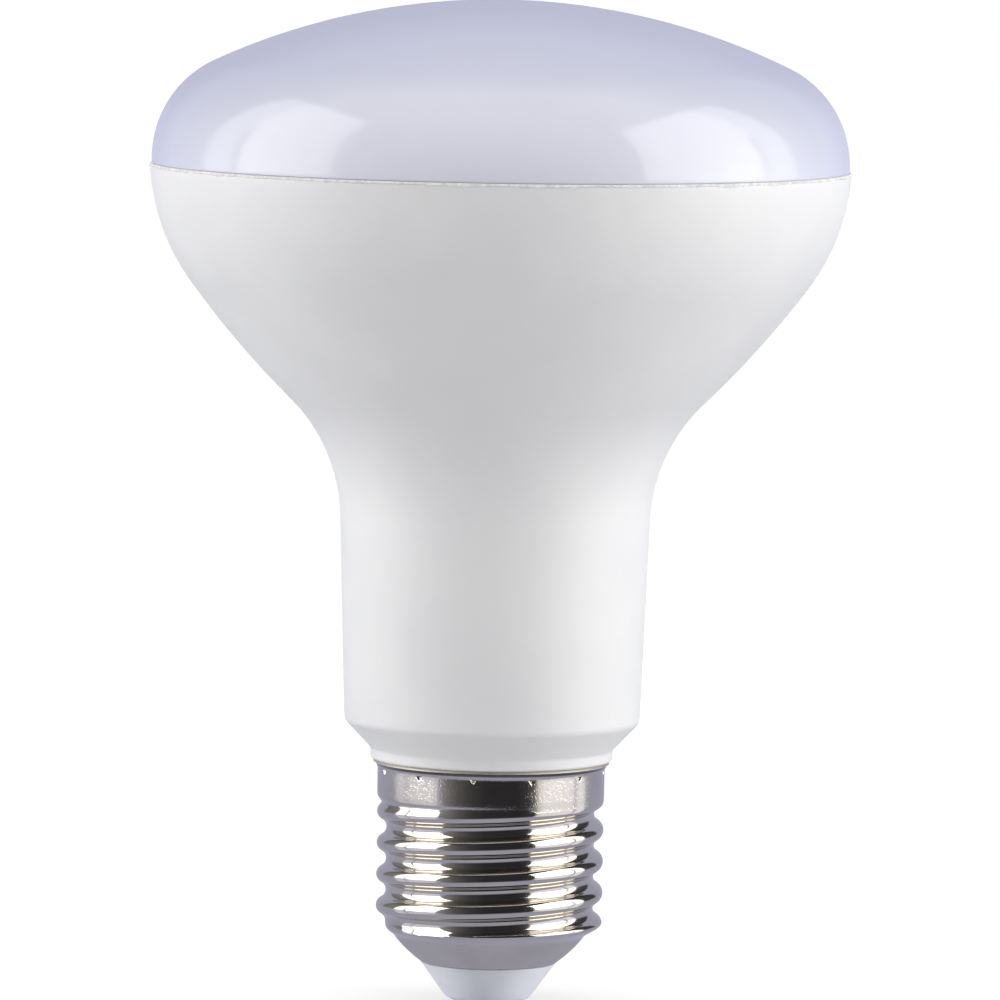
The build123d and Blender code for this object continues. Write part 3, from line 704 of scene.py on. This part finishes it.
@dataclass
class Diffuser:
    """Opal cover: a cap and a rounded shoulder of even wall, with a tongue in the housing."""

    seam: float               # joint with the bead
    radius: float = 39.8
    skirt: float = 0.7        # upright edge above the joint
    cap_radius: float = 76.8
    shoulder_radius: float = 12.2
    wall: float = 1.5
    edge: float = 0.25        # round on the lower edge
    tongue_radius: float = 37.86
    tongue_depth: float = 3.1
    outer_steps: tuple[int, int] = (34, 26)  # straight pieces in the shoulder and in the cap
    inner_steps: tuple[int, int] = (12, 16)

    def outline(self) -> list[Point]:
        """Draw the closed outline, from the lower edge over the cap and back inside.

        Returns:
            Points in (r, z).
        """
        outer_shoulder, outer_cap = self.outer_steps
        inner_shoulder, inner_cap = self.inner_steps
        shoulder = (self.radius - self.shoulder_radius, self.seam + self.skirt)
        rise = math.sqrt((self.cap_radius - self.shoulder_radius) ** 2 - shoulder[0] ** 2)
        lean = math.degrees(math.atan2(rise, shoulder[0]))
        cap = (0.0, shoulder[1] - rise)
        inner = self.tongue_radius - self.wall
        foot = (self.tongue_radius, self.seam)
        lower = rounded(foot, (self.radius, self.seam), (self.radius, shoulder[1]), self.edge)
        return [
            foot,
            *lower,
            *arc(shoulder, self.shoulder_radius, 0, lean, outer_shoulder),
            *arc(cap, self.cap_radius, lean, 90, outer_cap)[1:],
            *arc(cap, self.cap_radius - self.wall, 90, lean, inner_cap),
            *arc(shoulder, self.shoulder_radius - self.wall, lean, 0, inner_shoulder)[1:],
            (inner, self.seam),
            (inner, self.seam - self.tongue_depth),
            (self.tongue_radius, self.seam - self.tongue_depth),
            foot,
        ]

    def build(self) -> None:
        """Model and dress the cover."""
        cover = turned("opal_cover", self.outline())
        seat(cover, OPAL, Slot.OPAL, "diffuser_dome")


@dataclass
class RimBead:
    """Bead of sealant in the joint, torn and crumbly where it was squeezed out over the rim."""

    seam: float
    rim_radius: float = 40.0
    inner_radius: float = 38.4
    height: float = 0.2
    hang: float = 0.22        # crumbs below the rim
    nose: tuple[Point, ...] = (
        (-0.06, 0.0),         # lower points of the nose, out from the rim and as shares of the hang below it
        (-0.03, 1.0),
        (0.05, 0.7),
        (0.07, 0.3),
        (0.05, 0.0),
    )
    brow: tuple[Point, ...] = (
        (0.01, 0.5),          # upper points of the nose, out from the rim and as shares of the height
        (-0.07, 1.0),
    )
    nose_depth: float = 0.2   # reach of the nose in from the rim
    run: float = 3.6          # usual length of the runs where more or less was squeezed out
    crumb: float = 0.45       # usual length of a crumb
    crumb_start: Place = (7.0, 3.0, 5.0)  # keeps the crumbs' noise apart from the runs' noise
    grow_usual: float = 0.45  # share of the hang that is usually left, and what runs and crumbs add to it
    grow_run: float = 0.9
    grow_crumb: float = 0.7
    grow_most: float = 1.15
    proud_least: float = 0.35 # share of the nose that stays proud of the rim
    faces: int = 1200

    def outline(self) -> list[Point]:
        """Draw the closed outline with its drooping nose.

        Returns:
            Points in (r, z).
        """
        low, high = self.seam - self.height / 2, self.seam + self.height / 2
        return [
            (self.inner_radius, low),
            *((self.rim_radius + out, low - self.hang * share) for out, share in self.nose),
            *((self.rim_radius + out, low + self.height * share) for out, share in self.brow),
            (self.inner_radius, high),
            (self.inner_radius, low),
        ]

    def crumble(self, bead: Mesh) -> None:
        """Move the nose of the bead in and out, and its lower edge up and down.

        Args:
            bead: The turned bead.
        """
        low = self.seam - self.height / 2
        for vertex in bead.data.vertices:
            place = vertex.co / MM
            reach = math.hypot(place.x, place.y)
            if reach < self.rim_radius - self.nose_depth:
                continue
            coarse = noise.noise(place / self.run)
            fine = noise.noise(place / self.crumb + Vector(self.crumb_start))
            grow = self.grow_usual + self.grow_run * coarse + self.grow_crumb * fine
            grow = min(max(grow, 0.0), self.grow_most)
            place.z += max(low - place.z, 0.0) * (1 - grow)
            left = self.proud_least + (1 - self.proud_least) * grow
            out = max(reach - self.rim_radius, 0.0) * left
            put(vertex, min(reach, self.rim_radius) + out, place.z)

    def build(self) -> None:
        """Model and dress the bead."""
        bead = turned("torn_bead", self.outline(), self.faces)
        self.crumble(bead)
        seat(bead, SEALANT, Slot.SEALANT, "rim_sealant")


# Nodes that the housing holds
HELD = {"spreader": "heat_spreader", "board": "driver_board", "wire": "neutral_wire"}


@dataclass
class Housing:
    """White moulding: shoulder, flank and throat of the flare, the neck, a chamfer, the band and the spigot.

    Rails inside the neck grip the driver board, and ribs carry the heat spreader.
    """

    rim: float                # height of the rim
    lip: float                # height of the lip of the screw shell
    spreader: Box             # corners of the pieces that it holds, in m
    board: Box
    wire: Box
    rim_radius: float = 40.0
    neck_radius: float = 17.74
    neck_draft: float = 2.0
    throat_radius: float = 19.7
    flank_slope: float = 45.7
    shoulder_slope: float = 36.3
    shoulder_radius: float = 24.5
    rim_slope: float = 3.3
    chamfer_top: float = 32.5
    band_top: float = 29.3
    band_radius: float = 13.892
    corner: float = 1.2
    band_round: float = 0.6
    band_edge: float = 0.35
    edge: float = 0.2
    wall: float = 1.6
    floor: float = 32.8
    spigot_foot: float = 9.5
    spigot_radius: float = 11.48
    spigot_bore: float = 9.78
    collar_foot: float = 23.9
    collar_seat: float = 12.495
    ribs: int = 6
    rib_thickness: float = 1.4
    rib_reach: float = 2.2    # ribs inside the skirt of the heat spreader
    rail_grip: float = 1.3    # rails over the edge of the board
    rail_thickness: float = 1.2
    rail_clearance: float = 0.15
    rail_height: float = 20.0
    notch_clearance: float = 0.25
    broken: float = 0.15      # broken edges of the plates
    outer_steps: int = 28     # straight pieces in each arc of the flare
    inner_steps: int = 14

    def centres(self) -> tuple[Vector, Vector, Vector, float]:
        """Find the arcs of the flare, each tangent to the next.

        Returns:
            Middles of the shoulder, flank and throat arcs, and the radius of the flank.
        """
        shoulder = Vector((self.rim_radius, self.rim)) - away(self.rim_slope) * self.shoulder_radius
        reach = self.rim_radius - self.neck_radius
        reach -= self.shoulder_radius * (away(self.rim_slope).x - away(self.shoulder_slope).x)
        reach -= self.throat_radius * (away(self.neck_draft).x - away(self.flank_slope).x)
        flank_radius = reach / (away(self.shoulder_slope).x - away(self.flank_slope).x)
        flank = shoulder + away(self.shoulder_slope) * (self.shoulder_radius - flank_radius)
        throat = flank + away(self.flank_slope) * (flank_radius + self.throat_radius)
        return shoulder, flank, throat, flank_radius

    def flare(self, inset: float, steps: int) -> list[Point]:
        """Flare from the rim to the neck, on a wall set in from the outside.

        Args:
            inset: Distance in from the outside.
            steps: Straight pieces in each arc.

        Returns:
            Points downwards.
        """
        shoulder, flank, throat, flank_radius = self.centres()
        reach = self.shoulder_radius - inset
        top = math.degrees(math.asin((shoulder.y - self.rim) / reach))
        throat_start, throat_end = 180 - self.flank_slope, 180 - self.neck_draft
        return [
            *arc(shoulder, reach, -top, -self.shoulder_slope, steps),
            *arc(flank, flank_radius - inset, -self.shoulder_slope, -self.flank_slope, steps)[1:],
            *arc(throat, self.throat_radius + inset, throat_start, throat_end, steps)[1:],
        ]

    def outline(self) -> list[Point]:
        """Draw the closed outline, down the outside, round the spigot and up the inside.

        Returns:
            Points in (r, z).
        """
        outer, inner = self.flare(0, self.outer_steps), self.flare(self.wall, self.inner_steps)
        lean = math.tan(math.radians(self.neck_draft))
        corner = (outer[-1][0] - (outer[-1][1] - self.chamfer_top) * lean, self.chamfer_top)
        band_top, band_foot = (self.band_radius, self.band_top), (self.band_radius, self.lip)
        seat_top = (self.collar_seat, self.lip)
        neck_floor = (inner[-1][0] - (inner[-1][1] - self.floor) * lean, self.floor)
        rim_edge = rounded(inner[0], outer[0], outer[1], self.edge, steps=3)
        return [
            *rim_edge,
            *outer[1:],
            *rounded(outer[-1], corner, band_top, self.corner, steps=8),
            *rounded(corner, band_top, band_foot, self.band_round, steps=5),
            *rounded(band_top, band_foot, seat_top, self.band_edge),
            seat_top,
            (self.collar_seat, self.collar_foot),
            (self.spigot_radius, self.collar_foot),
            (self.spigot_radius, self.spigot_foot),
            (self.spigot_bore, self.spigot_foot),
            (self.spigot_bore, self.floor),
            neck_floor,
            *inner[::-1],
            rim_edge[0],
        ]

    def core(self) -> list[Point]:
        """Draw the outline of the space inside, half a wall larger.

        Returns:
            Points in (r, z).
        """
        inner = self.flare(self.wall / 2, self.inner_steps)
        lean = math.tan(math.radians(self.neck_draft))
        neck = inner[-1][0] - (inner[-1][1] - self.floor) * lean
        return [(0.0, self.floor), (neck, self.floor), *inner[::-1], (0.0, self.rim)]

    def plate(self, low: Place, high: Place, turn: float = 0.0) -> Mesh:
        """Model an upright plate with broken edges.

        Args:
            low: Lower corner in mm.
            high: Upper corner in mm.
            turn: Turn about Z in degrees.

        Returns:
            The plate, with its place in its mesh.
        """
        choose()
        bpy.ops.mesh.primitive_cube_add(size=MM, location=(Vector(low) + Vector(high)) / 2 * MM)
        plate = bpy.context.object
        plate.scale = Vector(high) - Vector(low)
        bpy.ops.object.transform_apply(location=True, rotation=False, scale=True)
        with editing(plate):
            bpy.ops.mesh.bevel(offset=self.broken * MM, segments=2)
        plate.rotation_euler.z = math.radians(turn)
        bpy.ops.object.transform_apply(rotation=True)
        return plate

    def plates(self) -> list[Mesh]:
        """Model the rails beside the driver board and the ribs under the heat spreader.

        Returns:
            The plates, which still reach into the wall of the housing.
        """
        inner = self.board[1].x / MM - self.rail_grip
        side = self.board[1].y / MM + self.rail_clearance
        top = self.floor + self.rail_height
        made = []
        for near in (side, -side - self.rail_thickness):
            low, high = (inner, near, self.floor), (self.neck_radius, near + self.rail_thickness, top)
            made += [self.plate(low, high), self.plate(low, high, 180.0)]
        shelf, reach = self.spreader[0].z / MM, self.spreader[1].x / MM - self.rib_reach
        half = self.rib_thickness / 2
        for k in range(self.ribs):
            turn = 360 / self.ribs * k
            made.append(self.plate((reach, -half, self.floor), (self.rim_radius, half, shelf), turn))
        return made

    def notch(self) -> Mesh:
        """Model the slot that lets the neutral wire out of the spigot.

        Returns:
            The piece to cut away.
        """
        low, high = (corner / MM for corner in self.wire)
        spare = self.notch_clearance
        first = (0.0, low.y - spare, self.spigot_foot - spare)
        last = (self.collar_seat, high.y + spare, low.z + high.y - low.y + spare)
        return self.plate(first, last)

    def build(self) -> None:
        """Model and dress the housing."""
        housing = turned("white_housing", self.outline())
        notch = self.notch()
        finish_with(housing, "BOOLEAN", operation="DIFFERENCE", object=notch)
        core = turned("core", self.core())
        plates = self.plates()
        for plate in plates:
            finish_with(plate, "BOOLEAN", operation="INTERSECT", object=core)
        for tool in (notch, core):
            bpy.data.objects.remove(tool)
        choose(*plates, housing)
        bpy.ops.object.join()
        seat(housing, HOUSING, Slot.HOUSING, "housing")


@dataclass
class ScrewShell:
    """Rolled sheet shell: bowl-shaped cone, round thread, plain collar with punch marks, and a flared lip."""

    foot: float
    lip: float
    sheet: float = 0.4
    thread_radius: float = 13.025
    pitch: float = 3.629
    depth: float = 1.095
    crest_drop: float = 8.0   # first crest on the +X side, below the lip
    collar: float = 4.15
    fade: float = 1.6         # height over which the thread sinks out of the collar
    draw: float = 0.02
    foot_radius: float = 7.85
    cone: float = 3.0
    cone_inset: float = 1.0
    cone_fall: float = 0.72   # slope of the bowl-shaped cone at its top
    run_in: float = 1.8       # height over which the thread rises from the cone
    lip_curve: float = 1.1    # radius of the flared lip
    lip_turn: float = 58.0    # turn of the lip, up to its cut edge
    marks: int = 12
    mark_start: float = 21.0
    mark_drop: float = 1.25
    mark_half_width: float = 0.46
    mark_top: float = 0.25
    mark_tip: float = 0.42
    mark_depth: float = 0.22
    mark_wall: float = 0.75   # share of mark_top over which a mark sinks to its depth
    mark_reach: float = 1.6   # collar that is divided round a mark, in half widths of the mark
    mark_cuts: int = 3        # cuts across each of those faces
    ring_step: float = 0.105  # height of the rings of faces below the collar
    collar_rings: int = 12
    lip_steps: int = 10

    def groove(self, z: float, turn: float) -> float:
        """Depth of the thread below its crest.

        Args:
            z: Height in mm.
            turn: Direction in turns from +X.

        Returns:
            Depth in mm.
        """
        wave = ((self.pitch / 2) ** 2 + self.depth**2) / (4 * self.depth)
        along = (z - self.lip + self.crest_drop) / self.pitch - turn
        from_crest = abs(along - round(along)) * self.pitch
        from_end = min(from_crest, self.pitch / 2 - from_crest)
        rise = math.sqrt(wave**2 - from_end**2) - wave + self.depth / 2
        return self.depth / 2 - (rise if from_crest < self.pitch / 4 else -rise)

    def radius(self, z: float, turn: float) -> float:
        """Outside radius below the collar.

        Args:
            z: Height in mm.
            turn: Direction in turns from +X.

        Returns:
            Radius in mm.
        """
        cone_top = self.thread_radius - self.depth - self.cone_inset
        below = self.foot + self.cone - z
        bowl = cone_top - self.foot_radius - self.cone_fall * self.cone
        cone = cone_top - self.cone_fall * below - bowl * (max(below, 0) / self.cone) ** 2
        depth = self.groove(z, turn) * eased((self.lip - self.collar - z) / self.fade)
        thread = self.thread_radius - self.draw - depth
        return cone + (thread - cone) * eased(-below / self.run_in)

    def flare_foot(self) -> float:
        """Height where the collar begins to flare."""
        return self.lip - (self.lip_curve + self.sheet) * math.sin(math.radians(self.lip_turn))

    def outline(self) -> list[Point]:
        """Draw the open outline of the outside, from the foot to the lip.

        Returns:
            Points in (r, z).
        """
        collar_foot = self.lip - self.collar
        flare_foot = self.flare_foot()
        rings = round((collar_foot - self.foot) / self.ring_step)
        heights = [self.foot + (collar_foot - self.foot) * k / rings for k in range(rings + 1)]
        steps = range(1, self.collar_rings)
        straight = [collar_foot + (flare_foot - collar_foot) * k / self.collar_rings for k in steps]
        centre = (self.thread_radius + self.lip_curve, flare_foot)
        return [
            *((self.radius(z, 0), z) for z in heights),
            *((self.thread_radius, z) for z in straight),
            *arc(centre, self.lip_curve, 180, 180 - self.lip_turn, self.lip_steps),
        ]

    def roll(self, shell: Mesh) -> None:
        """Press the thread into the turned shell.

        Args:
            shell: The turned shell.
        """
        top = self.lip - self.collar
        for vertex in shell.data.vertices:
            x, y, z = vertex.co / MM
            if z <= top:
                put(vertex, self.radius(z, math.atan2(y, x) / math.tau), z)

    def mark_place(self, place: Vector) -> Point:
        """Place of a point beside the nearest punch mark.

        Args:
            place: Point in mm.

        Returns:
            Distance round the collar and height above the mark, in mm.
        """
        step = 360 / self.marks
        turn = (math.degrees(math.atan2(place.y, place.x)) - self.mark_start) / step
        beside = math.radians((turn - round(turn)) * step) * math.hypot(place.x, place.y)
        return beside, place.z - (self.lip - self.mark_drop)

    def flared(self, z: float) -> float:
        """Outside radius of the collar and its lip.

        Args:
            z: Height in mm.

        Returns:
            Radius in mm.
        """
        above = max(z - self.flare_foot(), 0.0)
        return self.thread_radius + self.lip_curve - math.sqrt(self.lip_curve**2 - above**2)

    def divide(self, shell: Mesh, reach: float) -> None:
        """Divide the collar finely round the punch marks.

        Args:
            shell: The turned shell.
            reach: Distance from the middle of a mark, in mm.
        """
        with editing(shell):
            bpy.ops.mesh.select_mode(type="FACE")
            bpy.ops.mesh.select_all(action="DESELECT")
        for face in shell.data.polygons:
            beside, above = self.mark_place(face.center / MM)
            face.select = max(abs(beside), abs(above)) < reach
        bpy.ops.object.mode_set(mode="EDIT")
        bpy.ops.mesh.subdivide(number_cuts=self.mark_cuts)
        bpy.ops.mesh.select_mode(type="VERT")
        bpy.ops.object.mode_set(mode="OBJECT")

    def punch(self, shell: Mesh) -> None:
        """Press the three-sided dents of the punch marks into the collar.

        Args:
            shell: The turned shell.
        """
        reach = self.mark_reach * self.mark_half_width
        self.divide(shell, reach)
        slant = math.hypot(self.mark_half_width, self.mark_top + self.mark_tip)
        lean_in = (self.mark_top + self.mark_tip) / slant
        lean_up = self.mark_half_width / slant
        for vertex in shell.data.vertices:
            place = vertex.co / MM
            beside, above = self.mark_place(place)
            if max(abs(beside), abs(above)) > reach:
                continue
            side = (self.mark_half_width - abs(beside)) * lean_in - (self.mark_top - above) * lean_up
            inside = min(self.mark_top - above, side)
            press = self.mark_depth * eased(inside / (self.mark_top * self.mark_wall))
            put(vertex, self.flared(place.z) - press, place.z)

    def build(self) -> None:
        """Model and dress the shell."""
        shell = turned("nickel_shell", self.outline())
        face_outwards(shell)
        self.roll(shell)
        self.punch(shell)
        finish_with(shell, "SOLIDIFY", thickness=self.sheet * MM, offset=-1.0)
        seat(shell, NICKEL, Slot.NICKEL, "screw_shell")


@dataclass
class CapEnd:
    """End of the cap: a pale insulator with the contact nail through it."""

    foot: float               # foot of the screw shell
    end: float = 0.3          # lower face of the insulator
    foot_radius: float = 7.85
    nose_slope: float = 36.0
    nose_round: float = 1.6
    edge: float = 0.12
    waist: float = 7.1
    flange_foot: float = 7.6
    flange_radius: float = 10.15
    flange_top: float = 9.5
    bore: float = 1.3
    contact_radius: float = 3.7
    contact_round: float = 0.2
    nail_radius: float = 1.2
    nail_top: float = 10.3
    faces: int = 96           # faces round each piece

    def insulator(self) -> None:
        """Model and dress the insulator."""
        nose = self.foot_radius - (self.foot - self.end) * math.tan(math.radians(self.nose_slope))
        start, tip, shoulder = (self.bore, self.end), (nose, self.end), (self.foot_radius, self.foot)
        waist = (self.waist, self.foot)
        outline = [
            start,
            *rounded(start, tip, shoulder, self.nose_round, steps=10),
            *rounded(tip, shoulder, waist, self.edge, steps=3),
            waist,
            (self.waist, self.foot + self.edge),
            (self.flange_radius, self.flange_foot),
            (self.flange_radius, self.flange_top),
            (self.bore, self.flange_top),
            start,
        ]
        piece = turned("pale_insulator", outline, self.faces)
        seat(piece, INSULATOR, Slot.INSULATOR, "cap_insulator")

    def contact(self) -> None:
        """Model and dress the contact nail."""
        rim, under = (self.contact_radius, 0.0), (self.contact_radius, self.end)
        outline = [
            (0.0, 0.0),
            *rounded((0.0, 0.0), rim, under, self.contact_round, steps=8),
            under,
            (self.nail_radius, self.end),
            (self.nail_radius, self.nail_top),
            (0.0, self.nail_top),
        ]
        piece = turned("contact_nail", outline, self.faces)
        seat(piece, CONTACT, Slot.CONTACT, "centre_contact")


@dataclass
class Insides:
    """Light engine and driver inside the lamp: solids that keep their form and get their finishes."""

    solids: dict[str, Mesh]
    slots: dict[str, str]

    def dress(self) -> None:
        """Give each solid that is left the finish of its slot."""
        made = {slot.value: finish.material() for slot, finish in INSIDE.items()}
        for name, slot in self.slots.items():
            if slot not in made:
                continue
            surface = self.solids[name].data.materials
            surface.clear()
            surface.append(made[slot])
            log.info("%s: %s", name, made[slot].name)


@dataclass(frozen=True)
class Panel:
    """Soft panel that stands upright beside the lamp."""

    side: Side
    first: float              # direction of its front edge, in degrees from the camera's side
    last: float               # direction of its back edge
    low: float                # height of its lower edge, in m
    high: float               # height of its upper edge, in m
    glow: float               # radiance

    def hang(self, distance: float) -> None:
        """Hang the panel up along the camera's line of sight, facing the lamp.

        Args:
            distance: Distance from the lamp, in m.
        """
        front, back = (-distance / math.tan(math.radians(turn)) for turn in (self.first, self.last))
        light = bpy.data.lights.new(f"panel_{self.side.name.lower()}_{self.first:.0f}", "AREA")
        light.shape = "RECTANGLE"
        light.size = back - front
        light.size_y = self.high - self.low
        light.energy = self.glow * math.pi * light.size * light.size_y
        panel = bpy.data.objects.new(light.name, light)
        panel.location = (self.side.value * distance, (front + back) / 2, (self.low + self.high) / 2)
        panel.rotation_mode = "QUATERNION"
        panel.rotation_quaternion = Vector((self.side.value, 0, 0)).to_track_quat("Z", "Y")
        bpy.context.scene.collection.objects.link(panel)


@dataclass
class Studio:
    """White floor, soft panels on both sides of the lamp, a plain room and the camera.

    Glossy surfaces mirror the room. Its edges are directions from the lamp, as parts of a length of one.
    """

    floor_size: float = 40.0
    floor_drop: float = 0.0001
    paper: str = "#DADADA"
    floor_white: float = 0.85 # share of plain white that the camera sees in the floor
    floor_glow: float = 1.16  # strength of that white, which brings the lit paper up to full white
    shadow_reach: float = 0.022  # reach of the soft shadow round the lamp's foot, in m
    shadow_samples: int = 8
    shadow_left: float = 0.66 # share of the white that is left where the lamp hides the whole sky
    panel_distance: float = 0.75
    panel_top: float = 1.02
    panel_foot: float = -0.4  # the panels reach below the floor, where only mirrors show them
    gap_front: float = 94.0   # gap between the panels of a side, in degrees from the camera's side
    gap_back: float = 97.0
    gap_top: float = 0.45
    glow: float = 3.4
    back_glow: float = 1.95
    sides: tuple[tuple[Side, float, float, float], ...] = (
        (Side.LEFT, 56.0, 112.0, 0.36),   # front and back edge in degrees, and glow below the floor
        (Side.RIGHT, 47.0, 111.0, 0.66),
    )
    ambient: str = "#DADAE4"
    ambient_low: float = 0.09
    ambient_high: float = 0.60
    room_back: str = "#ADB0C8"
    wall_half: float = 0.66   # reach of the pale oval back wall to both sides and upwards
    wall_top: float = 0.83
    wall_edge: Point = (0.96, 1.04)      # soft edge of the oval
    horizon: Point = (-0.05, 0.08)       # heights between which the pale floor ends, behind and beside
    front_foot: Point = (-0.54, -0.30)   # heights between which it ends in front
    front_edge: Point = (0.58, 0.66)     # reach forwards where the dark front begins, below the horizon
    front_lift: float = 0.65  # how much nearer to the sides it begins above the horizon
    room_front: tuple[tuple[float, str], ...] = (
        (0.12, "#88888D"),    # dark front and ceiling, from left to right
        (0.22, "#5E5E63"),
        (0.32, "#444448"),
        (0.45, "#323236"),
        (0.75, "#2D2D31"),
        (0.87, "#474749"),
    )
    camera_place: Place = (0.0, -1.0275, 0.1430)
    camera_aim: Place = (0.0, 0.0, 0.0578)
    camera_lens: float = 324.35
    camera_roll: float = 0.918
    camera_shift: float = 0.0046

    def panels(self) -> list[Panel]:
        """Arrange each side: a broad front, a narrow back, and a bridge above the gap between them.

        Returns:
            The panels of both sides.
        """
        made = []
        for side, front, back, low_glow in self.sides:
            made += [
                Panel(side, front, self.gap_front, 0.0, self.panel_top, self.glow),
                Panel(side, front, self.gap_front, self.panel_foot, 0.0, low_glow),
                Panel(side, self.gap_front, self.gap_back, self.gap_top, self.panel_top, self.glow),
                Panel(side, self.gap_back, back, 0.0, self.panel_top, self.back_glow),
                Panel(side, self.gap_back, back, self.panel_foot, 0.0, low_glow),
            ]
        return made

    def seen(self, tree: Tree) -> Socket:
        """Tell whether the camera sees a surface, straight or through something clear.

        Args:
            tree: Node tree of the surface.

        Returns:
            Output that is 1 if it does, and 0 if not.
        """
        path = add(tree, "LightPath").node.outputs
        either = {0: path["Is Camera Ray"], 1: path["Is Transmission Ray"]}
        return add(tree, "Math", either, operation="MAXIMUM")

    def floor(self) -> None:
        """Lay the floor, white to the camera but for the lamp's shadow, and clear from below."""
        choose()
        bpy.ops.mesh.primitive_plane_add(size=self.floor_size, location=(0, 0, -self.floor_drop))
        floor = bpy.context.object
        floor.name = "floor"
        floor.visible_glossy = False
        made = bpy.data.materials.new("matt white paper")
        made.use_nodes = True
        tree = made.node_tree
        tree.nodes.clear()
        hidden = {"Distance": self.shadow_reach}
        sky = add(tree, "AmbientOcclusion", hidden, out="AO", samples=self.shadow_samples)
        shade = {"Value": sky, "To Min": self.floor_glow * self.shadow_left, "To Max": self.floor_glow}
        level = add(tree, "MapRange", shade)
        white = add(tree, "Emission", {"Color": linear(WHITE), "Strength": level})
        share = {0: self.seen(tree), 1: self.floor_white}
        mixed = {
            0: add(tree, "Math", share, operation="MULTIPLY"),
            1: add(tree, "BsdfDiffuse", {"Color": linear(self.paper)}),
            2: white,
        }
        sided = {
            0: add(tree, "NewGeometry", out="Backfacing"),
            1: add(tree, "MixShader", mixed),
            2: add(tree, "BsdfTransparent"),
        }
        add(tree, "OutputMaterial", {"Surface": add(tree, "MixShader", sided)})
        floor.data.materials.append(made)

    def walls(self, tree: Tree, direction: Socket) -> Socket:
        """Colour the room that glossy surfaces mirror.

        Its front and its ceiling are dark. Its floor and the oval wall at its back are pale.

        Args:
            tree: Node tree of the world.
            direction: Direction from the lamp.

        Returns:
            Colour output.
        """
        way = add(tree, "SeparateXYZ", {"Vector": direction}).node.outputs
        oval = {0: direction, 1: (1 / self.wall_half, 0.0, 1 / self.wall_top)}
        scaled = add(tree, "VectorMath", oval, operation="MULTIPLY")
        reach = add(tree, "VectorMath", {0: scaled}, out="Value", operation="LENGTH")
        edges = ((way["Z"], self.horizon), (way["Z"], self.front_foot), (reach, self.wall_edge))
        raised, upper, outside = (
            add(tree, "MapRange", {"Value": value, "From Min": first, "From Max": last})
            for value, (first, last) in edges
        )
        forwards = add(tree, "Math", {0: way["Y"], 1: -1.0}, operation="MULTIPLY")
        lifted = {0: raised, 1: self.front_lift, 2: forwards}
        ahead = add(tree, "Math", lifted, operation="MULTIPLY_ADD")
        first, last = self.front_edge
        facing = add(tree, "MapRange", {"Value": ahead, "From Min": first, "From Max": last})
        before = add(tree, "Math", {0: facing, 1: upper}, operation="MULTIPLY")
        beyond = add(tree, "Math", {0: outside, 1: raised}, operation="MULTIPLY")
        share = add(tree, "Math", {0: before, 1: beyond}, operation="MAXIMUM")
        across = add(tree, "MapRange", {"Value": way["X"], "From Min": -1.0})
        stops = [(place, linear(code)) for place, code in self.room_front]
        dark = add(tree, "ValToRGB", {"Fac": across}, stops)
        mixed = {"Factor": share, 6: linear(self.room_back), 7: dark}
        return add(tree, "Mix", mixed, out=2, data_type="RGBA")

    def room(self) -> None:
        """Set the world up: white to the camera, soft light on the lamp, and walls in its mirrors."""
        world = bpy.data.worlds.new("plain room")
        bpy.context.scene.world = world
        world.use_nodes = True
        tree = world.node_tree
        tree.nodes.clear()
        direction = add(tree, "TexCoord", out="Generated")
        height = add(tree, "SeparateXYZ", {"Vector": direction}, out="Z")
        rise = {"Value": height, "To Min": self.ambient_low, "To Max": self.ambient_high}
        level = add(tree, "MapRange", rise)
        lit = {
            0: add(tree, "LightPath", out="Is Glossy Ray"),
            1: add(tree, "Background", {"Color": linear(self.ambient), "Strength": level}),
            2: add(tree, "Background", {"Color": self.walls(tree, direction)}),
        }
        shown = {
            0: self.seen(tree),
            1: add(tree, "MixShader", lit),
            2: add(tree, "Background", {"Color": linear(WHITE)}),
        }
        add(tree, "OutputWorld", {"Surface": add(tree, "MixShader", shown)})

    def camera(self) -> None:
        """Stand the camera where the photograph was taken."""
        data = bpy.data.cameras.new("camera")
        data.lens = self.camera_lens
        data.shift_x = self.camera_shift
        camera = bpy.data.objects.new("camera", data)
        place, aim = Vector(self.camera_place), Vector(self.camera_aim)
        roll = Quaternion((0, 0, 1), math.radians(self.camera_roll))
        camera.location = place
        camera.rotation_mode = "QUATERNION"
        camera.rotation_quaternion = (aim - place).to_track_quat("-Z", "Y") @ roll
        bpy.context.scene.collection.objects.link(camera)
        bpy.context.scene.camera = camera

    def build(self) -> None:
        """Set the whole studio up."""
        bpy.context.scene.view_settings.view_transform = "Standard"
        self.floor()
        for panel in self.panels():
            panel.hang(self.panel_distance)
        self.room()
        self.camera()


def main() -> None:
    """Dress the lamp piece by piece and set the studio up."""
    logging.basicConfig(level=logging.INFO, format="%(message)s")
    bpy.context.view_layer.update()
    shell_low, shell_high = (corner.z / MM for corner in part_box("screw_shell"))
    bead_low, bead_high = (corner.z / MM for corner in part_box("rim_sealant"))
    slots = {entry["node"]: entry["material_slot"] for entry in frame["record"]["subparts"]}
    Diffuser(seam=bead_high).build()
    RimBead(seam=(bead_low + bead_high) / 2).build()
    held = {key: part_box(node) for key, node in HELD.items()}
    Housing(rim=bead_low, lip=shell_high, **held).build()
    ScrewShell(foot=shell_low, lip=shell_high).build()
    cap_end = CapEnd(foot=shell_low)
    cap_end.insulator()
    cap_end.contact()
    Insides(frame["nodes"], slots).dress()
    Studio().build()


if __name__ == "__main__":
    main()
